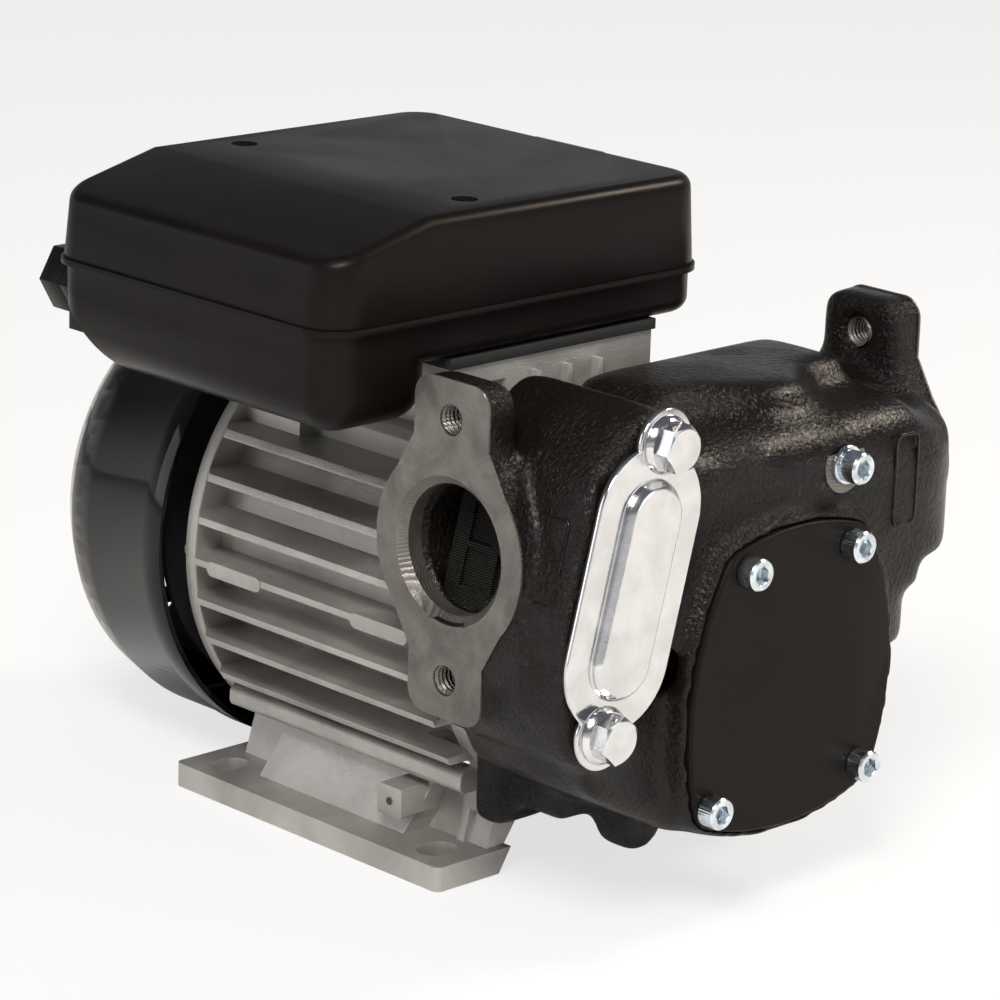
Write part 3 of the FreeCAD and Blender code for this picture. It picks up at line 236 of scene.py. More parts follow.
class PumpColours(bpy.types.PropertyGroup):
    """Colours of the finishes."""

    pump_paint: bpy.props.FloatVectorProperty(
        name="Pump paint", description="Black paint on the pump casting", subtype="COLOR",
        size=3, min=0.0, max=1.0, default=(0.0046, 0.0034, 0.0028))
    frame_metal: bpy.props.FloatVectorProperty(
        name="Motor casting", description="Bare aluminium of the motor frame", subtype="COLOR",
        size=3, min=0.0, max=1.0, default=(0.43, 0.41, 0.385))
    machined_iron: bpy.props.FloatVectorProperty(
        name="Machined iron", description="Bare cut faces of the pump casting", subtype="COLOR",
        size=3, min=0.0, max=1.0, default=(0.155, 0.142, 0.128))
    box_plastic: bpy.props.FloatVectorProperty(
        name="Box plastic", description="Black moulding of the terminal box", subtype="COLOR",
        size=3, min=0.0, max=1.0, default=(0.0046, 0.0034, 0.0030))
    zinc: bpy.props.FloatVectorProperty(
        name="Zinc", description="Zinc plating of screws and filter cover", subtype="COLOR",
        size=3, min=0.0, max=1.0, default=(0.60, 0.60, 0.605))


def sizes():
    return bpy.context.scene.pump_sizes


def colours():
    return bpy.context.scene.pump_colours


# Shader groups shared by several finishes

def new_group(name, inputs, outputs):
    """An empty shader group with float inputs (name, default) and named outputs."""
    group = bpy.data.node_groups.new(name, "ShaderNodeTree")
    group.interface.new_socket("Position", in_out="INPUT", socket_type="NodeSocketVector")
    for label, value in inputs:
        socket = group.interface.new_socket(label, in_out="INPUT", socket_type="NodeSocketFloat")
        socket.default_value = value
    for label in outputs:
        group.interface.new_socket(label, in_out="OUTPUT", socket_type="NodeSocketFloat")
    return group, group.nodes.new("NodeGroupInput"), group.nodes.new("NodeGroupOutput")


def link(tree, source, target):
    tree.links.new(source, target)


def set_inputs(tree, node, values):
    """Sets a node's inputs by name or number, and links those whose value is a socket."""
    for label, value in values.items():
        if isinstance(value, bpy.types.NodeSocket):
            link(tree, value, node.inputs[label])
        else:
            node.inputs[label].default_value = value
    return node


def math_node(tree, operation, first, second):
    node = tree.nodes.new("ShaderNodeMath")
    node.operation = operation
    return set_inputs(tree, node, {0: first, 1: second}).outputs[0]


def noise_node(tree, vector, scale, detail=4.0, roughness=0.5, distortion=0.0):
    node = tree.nodes.new("ShaderNodeTexNoise")
    return set_inputs(tree, node, {"Vector": vector, "Scale": scale, "Detail": detail,
                                   "Roughness": roughness, "Distortion": distortion}).outputs[0]


def ramp_node(tree, value, low, high):
    node = tree.nodes.new("ShaderNodeMapRange")
    node.interpolation_type = "SMOOTHSTEP"
    return set_inputs(tree, node, {"Value": value, "From Min": low, "From Max": high}).outputs[0]


def wrinkle_group():
    """Wrinkled paint on a rough casting: Height for the bump, Wrinkle and Patch as masks."""
    group, given, made = new_group("Wrinkled coat", [("Grain", 900.0), ("Patches", 25.0)],
                                   ("Height", "Wrinkle", "Patch"))
    place, grain, patches = (given.outputs[label] for label in ("Position", "Grain", "Patches"))
    fold = group.nodes.new("ShaderNodeTexVoronoi")
    fold.feature = "SMOOTH_F1"
    set_inputs(group, fold, {"Vector": place, "Scale": grain, "Smoothness": 0.7})
    warped = noise_node(group, place, grain, 3.0, 0.55, 1.6)
    folds = math_node(group, "MULTIPLY", fold.outputs["Distance"], 0.55)
    rough = math_node(group, "MULTIPLY", warped, 0.9)
    both = math_node(group, "ADD", folds, rough)
    patch = ramp_node(group, noise_node(group, place, patches, 2.0), 0.42, 0.62)
    depth = math_node(group, "ADD", math_node(group, "MULTIPLY", patch, 0.65), 0.35)
    height = math_node(group, "MULTIPLY", both, depth)
    set_inputs(group, made, {"Height": height, "Wrinkle": both, "Patch": patch})
    return group


def cast_grain_group():
    """Fine die-cast skin: Height for the bump and Stain for the colour."""
    group, given, made = new_group("Cast grain", [("Grain", 2500.0), ("Stains", 30.0)],
                                   ("Height", "Stain"))
    place, grain, stains = (given.outputs[label] for label in ("Position", "Grain", "Stains"))
    fine = noise_node(group, place, grain, 2.0, 0.6)
    stain = ramp_node(group, noise_node(group, place, stains, 5.0, 0.6, 0.6), 0.3, 0.72)
    set_inputs(group, made, {"Height": fine, "Stain": stain})
    return group


def tool_mark_group():
    """Sweeping marks of a face cutter: Height for the bump, Mark for gloss, Blotch for colour."""
    group, given, made = new_group("Tool marks", [("Spacing", 900.0), ("Blotches", 60.0)],
                                   ("Height", "Mark", "Blotch"))
    labels = ("Position", "Spacing", "Blotches")
    place, spacing, blotches = (given.outputs[label] for label in labels)
    wave = group.nodes.new("ShaderNodeTexWave")
    wave.wave_type = "RINGS"
    wave.rings_direction = "SPHERICAL"
    set_inputs(group, wave, {"Vector": place, "Scale": spacing, "Distortion": 1.5, "Detail": 3.0,
                             "Detail Scale": 2.5})
    mark = wave.outputs["Fac"]
    blotch = ramp_node(group, noise_node(group, place, blotches, 5.0, 0.65, 0.8), 0.3, 0.7)
    set_inputs(group, made, {"Height": mark, "Mark": mark, "Blotch": blotch})
    return group


GROUPS = {}
# The masks that drive a finish's tone and gloss in each shared group
MASKS = {"wrinkle": ("Wrinkle", "Patch"), "grain": ("Stain", "Stain"), "marks": ("Blotch", "Mark")}


def group_node(tree, name, scales):
    """Places a shared group in a material, on Object coordinates, with its own two scales."""
    makers = {"wrinkle": wrinkle_group, "grain": cast_grain_group, "marks": tool_mark_group}
    if name not in GROUPS:
        GROUPS[name] = makers[name]()
    node = tree.nodes.new("ShaderNodeGroup")
    node.node_tree = GROUPS[name]
    place = tree.nodes.new("ShaderNodeTexCoord")
    return set_inputs(tree, node, {"Position": place.outputs["Object"], 1: scales[0], 2: scales[1]})


def new_material(name, metallic, roughness, specular=0.5):
    material = bpy.data.materials.new(name)
    material.use_nodes = True
    shader = material.node_tree.nodes["Principled BSDF"]
    set_inputs(material.node_tree, shader, {"Metallic": metallic, "Roughness": roughness,
                                            "Specular IOR Level": specular})
    return material, material.node_tree, shader


def vary_colour(tree, shader, factor, low, high):
    """Base Color between two colours by a varying factor."""
    mix = tree.nodes.new("ShaderNodeMix")
    mix.data_type = "RGBA"
    set_inputs(tree, mix, {"A": (*low, 1.0), "B": (*high, 1.0), "Factor": factor})
    link(tree, mix.outputs["Result"], shader.inputs["Base Color"])


def vary_roughness(tree, shader, factor, low, high):
    node = tree.nodes.new("ShaderNodeMapRange")
    set_inputs(tree, node, {"Value": factor, "To Min": low, "To Max": high})
    link(tree, node.outputs[0], shader.inputs["Roughness"])


def add_bump(tree, shader, height, distance, strength=1.0):
    node = tree.nodes.new("ShaderNodeBump")
    set_inputs(tree, node, {"Height": height, "Distance": distance, "Strength": strength})
    link(tree, node.outputs["Normal"], shader.inputs["Normal"])


def scaled(colour, factor):
    return tuple(min(1.0, c * factor) for c in colour)


def dressed(label, colour, metallic, group, scales, tones, gloss, bump, specular=0.5):
    """A finish whose tone and gloss follow a shared group's masks, with the group's bump."""
    base = tuple(getattr(colours(), colour)) if isinstance(colour, str) else colour
    material, tree, shader = new_material(label, metallic, gloss[0], specular)
    skin = group_node(tree, group, scales)
    tone_mask, gloss_mask = MASKS[group]
    low, high = (scaled(base, tone) for tone in tones)
    vary_colour(tree, shader, skin.outputs[tone_mask], low, high)
    vary_roughness(tree, shader, skin.outputs[gloss_mask], *gloss)
    add_bump(tree, shader, skin.outputs["Height"], *bump)
    return material


def mesh_steel():
    """Woven strainer cloth: bright crossing wires, with painted shade in the openings between them.
    """
    material, tree, shader = new_material("Strainer cloth", 0.8, 0.35)
    place = tree.nodes.new("ShaderNodeTexCoord")
    wires_each_way = []
    for direction in ("Y", "Z"):
        wave = tree.nodes.new("ShaderNodeTexWave")
        wave.bands_direction = direction
        set_inputs(tree, wave, {"Vector": place.outputs["Object"], "Scale": 430.0,
                                "Distortion": 0.0})
        wires_each_way.append(wave.outputs["Fac"])
    weave = math_node(tree, "MULTIPLY", *wires_each_way)
    wires = ramp_node(tree, weave, 0.25, 0.6)
    # The openings' near-black colour is painted shade, standing for the dark chamber seen through
    # the cloth.
    vary_colour(tree, shader, wires, (0.002, 0.002, 0.002), (0.13, 0.125, 0.11))
    vary_roughness(tree, shader, wires, 0.5, 0.28)
    add_bump(tree, shader, weave, 0.0004, 1.0)
    return material


def plain_finish(label, colour, metallic, roughness, grain, depth, spread=0.12):
    """A finely grained finish given by one colour and one roughness."""
    return dressed(label, colour, metallic, "grain", (grain, 45.0), (1.0 - spread, 1.0 + spread),
                   (max(0.03, roughness - 0.06), roughness + 0.08), (depth, 0.6))


# Label, colour or its setting, metallic, group, scales, tones, gloss, bump and specular
DRESSED_FINISHES = {
    "pump_paint": ("Pump wrinkle paint", "pump_paint", 0.0, "wrinkle", (620.0, 28.0), (0.7, 1.6),
                   (0.24, 0.36), (0.0008, 1.0), 0.22),
    "smooth_black": ("Satin black paint", "pump_paint", 0.0, "grain", (1800.0, 30.0), (1.0, 1.7),
                     (0.36, 0.48), (0.00004, 0.5), 0.10),
    "frame_metal": ("Die-cast aluminium", "frame_metal", 0.6, "grain", (1500.0, 34.0), (0.8, 1.12),
                    (0.36, 0.50), (0.0002, 0.9)),
    "machined_iron": ("Machined cast iron", "machined_iron", 0.7, "marks", (420.0, 55.0),
                      (0.72, 1.3), (0.32, 0.48), (0.00009, 1.0)),
    "box_plastic": ("Box moulding", "box_plastic", 0.0, "grain", (5200.0, 14.0), (0.9, 1.25),
                    (0.28, 0.38), (0.00003, 0.5), 0.11),
    "cowl_plastic": ("Cowl moulding", "box_plastic", 0.0, "grain", (500.0, 12.0), (0.8, 1.2),
                     (0.05, 0.11), (0.00003, 0.25), 0.3),
    "zinc_sheet": ("Bright zinc sheet", "zinc", 1.0, "grain", (700.0, 90.0), (1.0, 1.22),
                   (0.09, 0.20), (0.00008, 0.5)),
    "zinc_screw": ("Bright zinc screw", (0.62, 0.68, 0.72), 1.0, "grain", (2200.0, 220.0),
                   (0.85, 1.25), (0.14, 0.28), (0.00003, 0.5)),
}

# Label, colour, metallic, roughness, grain, bump depth and, where it isn't 0.12, tone spread
PLAIN_FINISHES = {
    "lamination": ("Stacked sheet steel", (0.32, 0.32, 0.33), 0.9, 0.45, 900.0, 0.0002),
    "copper": ("Varnished copper", (0.60, 0.22, 0.08), 0.9, 0.3, 1500.0, 0.0004, 0.25),
    "bearing": ("Bearing steel", (0.62, 0.62, 0.64), 1.0, 0.14, 1200.0, 0.00002, 0.06),
    "ground_steel": ("Ground steel", (0.52, 0.52, 0.53), 1.0, 0.25, 1600.0, 0.00003),
    "spring_steel": ("Spring steel", (0.35, 0.35, 0.36), 1.0, 0.3, 1600.0, 0.00003),
    "fan_plastic": ("Fan moulding", (0.02, 0.02, 0.021), 0.0, 0.45, 1800.0, 0.00005),
    "rubber": ("Seal rubber", (0.012, 0.012, 0.012), 0.0, 0.65, 1400.0, 0.00008),
    "gasket": ("Gasket sheet", (0.02, 0.018, 0.016), 0.0, 0.75, 1600.0, 0.0001),
    "ivory": ("Ivory moulding", (0.62, 0.58, 0.46), 0.0, 0.4, 1800.0, 0.00004, 0.05),
    "white_can": ("Capacitor can", (0.7, 0.7, 0.67), 0.0, 0.3, 700.0, 0.00003, 0.04),
    "rocker": ("Rocker moulding", (0.012, 0.012, 0.012), 0.0, 0.2, 1800.0, 0.00002),
    "sintered": ("Sintered steel", (0.25, 0.245, 0.24), 0.9, 0.5, 2400.0, 0.0001),
    "acetal": ("Acetal", (0.62, 0.6, 0.52), 0.0, 0.4, 1500.0, 0.00003, 0.05),
    # The drilled centre's dark colour is painted shade of the hole.
    "shadow_iron": ("Drilled centre", (0.05, 0.046, 0.042), 0.3, 0.6, 1500.0, 0.00003),
    "brass": ("Turned brass", (0.60, 0.42, 0.16), 1.0, 0.25, 1200.0, 0.00003),
}

MATERIALS = {}


def finish_of(name):
    """Builds a finish the first time it is asked for."""
    if name in MATERIALS:
        return MATERIALS[name]
    if name in DRESSED_FINISHES:
        MATERIALS[name] = dressed(*DRESSED_FINISHES[name])
    elif name in PLAIN_FINISHES:
        MATERIALS[name] = plain_finish(*PLAIN_FINISHES[name])
    else:
        MATERIALS[name] = mesh_steel()
    return MATERIALS[name]


# The nodes that wear each finish
FINISHED_NODES = {
    "frame_metal": ("motor_housing", "rear_end_shield"),
    "pump_paint": ("pump_body",),
    "smooth_black": ("pump_cover",),
    "lamination": ("stator_core", "rotor_core"),
    "copper": ("stator_windings",),
    "bearing": ("front_bearing_outer", "front_bearing_inner", "front_bearing_balls",
                "rear_bearing_outer", "rear_bearing_inner", "rear_bearing_balls"),
    "ground_steel": ("motor_shaft", "shaft_key", "bypass_poppet"),
    "spring_steel": ("wave_washer", "fan_clip", "bypass_spring", "capacitor_clip"),
    "fan_plastic": ("fan",),
    "cowl_plastic": ("fan_cowl",),
    "box_plastic": ("box_tray", "box_lid", "gland_body", "gland_nut"),
    "rubber": ("box_gasket", "gland_seal", "cover_o_ring", "shaft_seal"),
    "gasket": ("filter_gasket",),
    "ivory": ("terminal_block",),
    "white_can": ("capacitor",),
    "rocker": ("switch_body", "switch_rocker"),
    "zinc_screw": ("mount_screws", "long_screw", "long_washer", "cover_screws"),
    "zinc_sheet": ("filter_bolts", "filter_cover"),
    "mesh_steel": ("strainer",),
    "sintered": ("pump_rotor",),
    "acetal": ("vane_1", "vane_2", "vane_3", "vane_4", "vane_5"),
    "brass": ("bypass_cap",),
}


# Mesh helpers

def cad_copy(node):
    """The CAD node's mesh as a joined bmesh, ready to be worked on."""
    bm = bmesh.new()
    bm.from_mesh(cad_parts[node].data)
    bmesh.ops.remove_doubles(bm, verts=bm.verts, dist=MERGE_GAP)
    return bm


def make_piece(name, bm, finish, body):
    """Turns a bmesh into a named piece that rides on a body."""
    mesh = bpy.data.meshes.new(name)
    bm.to_mesh(mesh)
    bm.free()
    piece = bpy.data.objects.new(name, mesh)
    bpy.context.scene.collection.objects.link(piece)
    mesh.materials.append(finish_of(finish))
    mesh.shade_smooth()
    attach(piece, body)
    return piece


def apply_modifiers(piece):
    """Bakes a piece's modifiers into its mesh."""
    depsgraph = bpy.context.evaluated_depsgraph_get()
    finished = bpy.data.meshes.new_from_object(piece.evaluated_get(depsgraph))
    piece.modifiers.clear()
    old = piece.data
    piece.data = finished
    bpy.data.meshes.remove(old)


def shade_by_angle(piece, degrees=30.0):
    """Smooths gentle turns and keeps broad flat faces flat."""
    mesh = piece.data
    mesh.shade_smooth()
    bm = bmesh.new()
    bm.from_mesh(mesh)
    limit = math.radians(degrees)
    for edge in bm.edges:
        if not edge.is_manifold:
            continue
        turn = edge.calc_face_angle(0.0)
        broad = max(face.calc_area() for face in edge.link_faces) > BROAD_FACE
        edge.smooth = not (turn > limit or (broad and turn > BROAD_TURN))
    bm.to_mesh(mesh)
    bm.free()


def softened_copy(node, name, width, segments, finish, slot, degrees=35.0):
    """A copy of a CAD node with its coplanar triangles merged and its sharp edges rounded."""
    bm = cad_copy(node)
    bmesh.ops.dissolve_limit(bm, angle_limit=MERGE_TURN, verts=bm.verts, edges=bm.edges,
                             delimit={"NORMAL"})
    limit = math.radians(degrees)
    sharp = [e for e in bm.edges if e.is_manifold and e.calc_face_angle(0.0) > limit]
    bmesh.ops.bevel(bm, geom=sharp, offset=width, offset_type="OFFSET", segments=segments,
                    profile=0.5, affect="EDGES", clamp_overlap=True, material=-1)
    piece = make_piece(name, bm, finish, "base")
    shade_by_angle(piece)
    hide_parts(node)


def placed(bm, matrix):
    """Moves a bmesh by a matrix and hands it on."""
    bmesh.ops.transform(bm, matrix=matrix, verts=bm.verts)
    return bm


def facing_front(x, y, z):
    """Turns a shape drawn along +Z so that it points along -Y at a place."""
    return Matrix.Translation((x, y, z)) @ Matrix.Rotation(math.radians(90), 4, "X")


def facing_side(side, y, z):
    """Turns a shape drawn along +Z so that it points out of a port flange."""
    turn = Matrix.Rotation(math.radians(90 * side), 4, "Y")
    return Matrix.Translation((side * PORT_FACE, y, z)) @ turn


def round_ring(radius, height):
    return lambda angle: (radius, height)


def hexagon_radius(across_flats, angle):
    return across_flats / 2 / math.cos(angle % (math.pi / 3) - math.pi / 6)


def hexagon_ring(across_flats, height):
    return lambda angle: (hexagon_radius(across_flats, angle), height)


def ringed(rings, count=48, closed_start=False, closed_end=True):
    """Draws a turned or hexagonal shape along +Z through rings of (radius, height)."""
    bm = bmesh.new()
    start = bmesh.ops.create_circle(bm, segments=count, radius=1.0)["verts"]
    loop = list(bm.edges)
    fresh = start
    for index, ring in enumerate(rings):
        if index:
            made = bmesh.ops.extrude_edge_only(bm, edges=loop)["geom"]
            fresh = [part for part in made if isinstance(part, bmesh.types.BMVert)]
            loop = [part for part in made if isinstance(part, bmesh.types.BMEdge)]
            across = set(fresh)
            loop = [e for e in loop if e.verts[0] in across and e.verts[1] in across]
        elif closed_start:
            bmesh.ops.contextual_create(bm, geom=loop)
        for vert in fresh:
            angle = math.atan2(vert.co.y, vert.co.x)
            radius, height = ring(angle)
            vert.co = (radius * math.cos(angle), radius * math.sin(angle), height)
    if closed_end:
        bmesh.ops.contextual_create(bm, geom=loop)
    bmesh.ops.recalc_face_normals(bm, faces=bm.faces)
    return bm


def closed_ring(corners, count=48):
    """A turned ring whose section runs through corners of (radius, height) and closes."""
    rings = [round_ring(*corner) for corner in (*corners, corners[0])]
    bm = ringed(rings, count, closed_end=False)
    bmesh.ops.remove_doubles(bm, verts=bm.verts, dist=MERGE_GAP)
    return bm


def merge_into(target, source):
    """Adds one bmesh to another."""
    mesh = bpy.data.meshes.new("join")
    source.to_mesh(mesh)
    source.free()
    target.from_mesh(mesh)
    bpy.data.meshes.remove(mesh)
    return target


def socket_head(radius):
    """A socket screw's knurled head, its underside at height 0."""
    height = 2 * radius
    head = radius * 5 / 3
    key = radius * 1.67

    def knurled(level):
        return lambda angle: (head * (1.0 + 0.012 * math.cos(36 * angle)), level)

    return ringed([round_ring(radius, 0), round_ring(head * 0.93, 0), knurled(height * 0.06),
                   knurled(height * 0.78), round_ring(head, height * 0.84),
                   round_ring(head, height * 0.9), round_ring(head * 0.9, height),
                   round_ring(key * 0.63, height), hexagon_ring(key, height - key * 0.06),
                   hexagon_ring(key, height * 0.52), round_ring(key * 0.12, height * 0.44)],
                  count=144)


def flange_head(across_flats, height, flange):
    """A hexagon flange bolt's head, its underside at height 0."""
    chamfer_start = across_flats * 0.475

    def top_edge(angle):
        radius = hexagon_radius(across_flats, angle)
        return radius, height - max(0.0, radius - chamfer_start) * 0.55

    rise = height * 0.26
    return ringed([round_ring(across_flats * 0.3, 0), round_ring(flange * 0.97, 0),
                   round_ring(flange, height * 0.04), round_ring(flange * 0.985, height * 0.1),
                   round_ring(across_flats * 0.585, rise), hexagon_ring(across_flats, rise * 1.02),
                   top_edge, round_ring(chamfer_start, height),
                   round_ring(chamfer_start * 0.8, height * 0.985)], count=96)


def pan_head(radius, height):
    """A small round-topped screw head with a recess pressed in its middle."""
    return ringed([round_ring(radius * 0.4, 0), round_ring(radius, 0),
                   round_ring(radius, height * 0.35), round_ring(radius * 0.86, height * 0.75),
                   round_ring(radius * 0.6, height), round_ring(radius * 0.32, height),
                   round_ring(radius * 0.24, height * 0.45),
                   round_ring(radius * 0.05, height * 0.4)], count=32)


def racetrack_ring(radius, half_spacing, height):
    """A ring whose outline is a racetrack, long along its own X."""
    def outline(angle):
        along, across = abs(math.cos(angle)), abs(math.sin(angle))
        if across > 1e-6 and radius / across * along <= half_spacing:
            return radius / across, height
        return half_spacing * along + math.sqrt(radius ** 2 - (half_spacing * across) ** 2), height

    return outline


def rounded_frame(width, height, corner, band, lift):
    """A flat rounded frame standing on the XY plane."""
    bm = bmesh.new()
    bmesh.ops.create_grid(bm, x_segments=1, y_segments=1, size=0.5)
    bmesh.ops.scale(bm, vec=(width, height, 1.0), verts=bm.verts)
    bmesh.ops.bevel(bm, geom=list(bm.verts), offset=corner, offset_type="OFFSET", segments=5,
                    profile=0.5, affect="VERTICES", clamp_overlap=True, material=-1)
    inner = bmesh.ops.inset_region(bm, faces=list(bm.faces), thickness=band, depth=0.0,
                                   use_boundary=True, use_even_offset=True)
    ring = set(inner["faces"])
    bmesh.ops.delete(bm, geom=[f for f in bm.faces if f not in ring], context="FACES")
    made = bmesh.ops.extrude_face_region(bm, geom=list(bm.faces))["geom"]
    top = [v for v in made if isinstance(v, bmesh.types.BMVert)]
    bmesh.ops.translate(bm, vec=(0, 0, lift), verts=top)
    bmesh.ops.recalc_face_normals(bm, faces=bm.faces)
    return bm


class PUMP_OT_finishes(bpy.types.Operator):
    """Gives every CAD node its finish"""

    bl_idname = "pump.finishes"
    bl_label = "Node finishes"

    def execute(self, context):
        for finish, names in FINISHED_NODES.items():
            for name in names:
                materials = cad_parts[name].data.materials
                materials.clear()
                materials.append(finish_of(finish))
        return {"FINISHED"}


def soften(bm, verts):
    """Moves vertices half way to the middle of their neighbours."""
    bmesh.ops.smooth_vert(bm, verts=verts, factor=0.5, use_axis_x=True, use_axis_y=True,
                          use_axis_z=True)


def distance_from_long_screw(point):
    return math.hypot(point.x - LONG_SCREW[0], point.z - LONG_SCREW[1])


class PUMP_OT_casting(bpy.types.Operator):
    """Forms the pump casting's soft blends from the CAD body, with its cut faces kept crisp"""

    bl_idname = "pump.casting"
    bl_label = "Pump casting"

    def execute(self, context):
        skin = make_piece("pump_casting", cad_copy("pump_body"), "pump_paint", "base")
        remesh = skin.modifiers.new("Grid", "REMESH")
        remesh.mode = "VOXEL"
        remesh.voxel_size = sizes().casting_voxel
        remesh.use_smooth_shade = True
        apply_modifiers(skin)
        bm = bmesh.new()
        bm.from_mesh(skin.data)
        self.step_back_beside_flange(bm)
        crisp = PORT_FACE - SKIN_GAP
        free = [v for v in bm.verts if crisp - abs(v.co.x) > 0.0]
        inner = [v for v in bm.verts if crisp - abs(v.co.x) >= HOLD_BAND]
        for turn in range(sizes().casting_rounds):
            soften(bm, inner if turn % 2 else free)
        pad = [v for v in bm.verts if self.on_pad(v.co)]
        for turn in range(sizes().pad_rounds):
            soften(bm, pad)
        self.clear_cut_faces(bm)
        bm.to_mesh(skin.data)
        bm.free()
        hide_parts("pump_body")
        return {"FINISHED"}

    def on_pad(self, point):
        """Whether a point lies on the soft pad on top, away from the long screw's seat."""
        behind_face = point.y < BODY_FACE + PAD_LENGTH
        inside = point.z > PAD_BOTTOM and abs(point.x) < PAD_HALF_WIDTH and behind_face
        return inside and distance_from_long_screw(point) >= SCREW_SURROUND

    def step_back_beside_flange(self, bm):
        """Keeps the strainer chamber's side wall behind the plane of the inlet flange."""
        for vert in bm.verts:
            beside = vert.co.y < PORT_Y - FLANGE_RADIUS - SKIN_GAP
            if vert.co.x < -WALL_BESIDE_FLANGE and beside:
                vert.co.x = -WALL_BESIDE_FLANGE

    def clear_cut_faces(self, bm):
        """Draws the painted skin back behind the cut faces and bores that stand on it."""
        for vert in bm.verts:
            p = vert.co
            if abs(p.x) > PORT_FACE - SKIN_DEPTH:
                p.x = math.copysign(PORT_FACE - SKIN_DEPTH, p.x)
            radius = math.hypot(p.y - PORT_Y, p.z - PORT_Z)
            flare = max(0.0, abs(p.x) - PORT_FACE + PORT_CHAMFER)
            wanted = PORT_BORE + flare + SKIN_GAP
            if abs(p.x) > BORE_END and PASSAGE_RADIUS < radius < wanted:
                p.y = PORT_Y + (p.y - PORT_Y) * wanted / radius
                p.z = PORT_Z + (p.z - PORT_Z) * wanted / radius
            seat = SPOT_PLANE + SKIN_DEPTH
            if distance_from_long_screw(p) < SPOT_RADIUS + SPOT_GAP and p.y < seat:
                p.y = seat
            self.clear_vane_bore(p)

    def clear_vane_bore(self, p):
        """Keeps the inner wall clear of the vanes and the rotor."""
        up = p.z - VANE_BORE_Z
        radius = math.hypot(p.x, up)
        wanted = VANE_BORE_RADIUS + BORE_EASE
        rear = VANE_BORE_REAR + BORE_EASE
        if p.y < PUMP_FRONT or p.y > rear + BORE_EASE or radius > wanted:
            return
        if radius > VANE_BORE_RADIUS - BORE_CORNER:
            p.x *= wanted / radius
            p.z = VANE_BORE_Z + up * wanted / radius
        elif p.y < rear:
            p.y = rear


def is_flange_face(face):
    """Whether a CAD face lies on the outlet flange, which the inlet flange mirrors."""
    return all(abs(v.co.x - PORT_FACE) < FACE_TOLERANCE for v in face.verts)


def in_bore(point):
    radius = math.hypot(point.y - PORT_Y, point.z - PORT_Z)
    widest = PORT_BORE + PORT_CHAMFER + BORE_OVER
    return abs(point.x) > BORE_END and PORT_BORE - BORE_UNDER < radius < widest


def on_spot(point):
    near = distance_from_long_screw(point) < SPOT_RADIUS + SPOT_OVER
    return near and abs(point.y - SPOT_PLANE) < FACE_TOLERANCE


class PUMP_OT_cut_faces(bpy.types.Operator):
    """Makes the bare machined faces of the flanges, ports and screw seat"""

    bl_idname = "pump.cut_faces"
    bl_label = "Cut faces"

    def execute(self, context):
        bm = cad_copy("pump_body")
        away = [f for f in bm.faces if not is_flange_face(f)
                and not all(in_bore(v.co) for v in f.verts)
                and not all(on_spot(v.co) for v in f.verts)]
        bmesh.ops.delete(bm, geom=away, context="FACES")
        twin = [f for f in bm.faces if is_flange_face(f)]
        made = bmesh.ops.duplicate(bm, geom=twin)["geom"]
        mirrored = [v for v in made if isinstance(v, bmesh.types.BMVert)]
        bmesh.ops.scale(bm, vec=(-1, 1, 1), verts=mirrored)
        bmesh.ops.reverse_faces(bm, faces=[f for f in made if isinstance(f, bmesh.types.BMFace)])
        bmesh.ops.remove_doubles(bm, verts=bm.verts, dist=FACE_TOLERANCE)
        piece = make_piece("cut_faces", bm, "machined_iron", "base")
        wall = piece.modifiers.new("Depth", "SOLIDIFY")
        wall.thickness = CUT_DEPTH
        wall.offset = -1.0
        apply_modifiers(piece)
        shade_by_angle(piece)
        return {"FINISHED"}


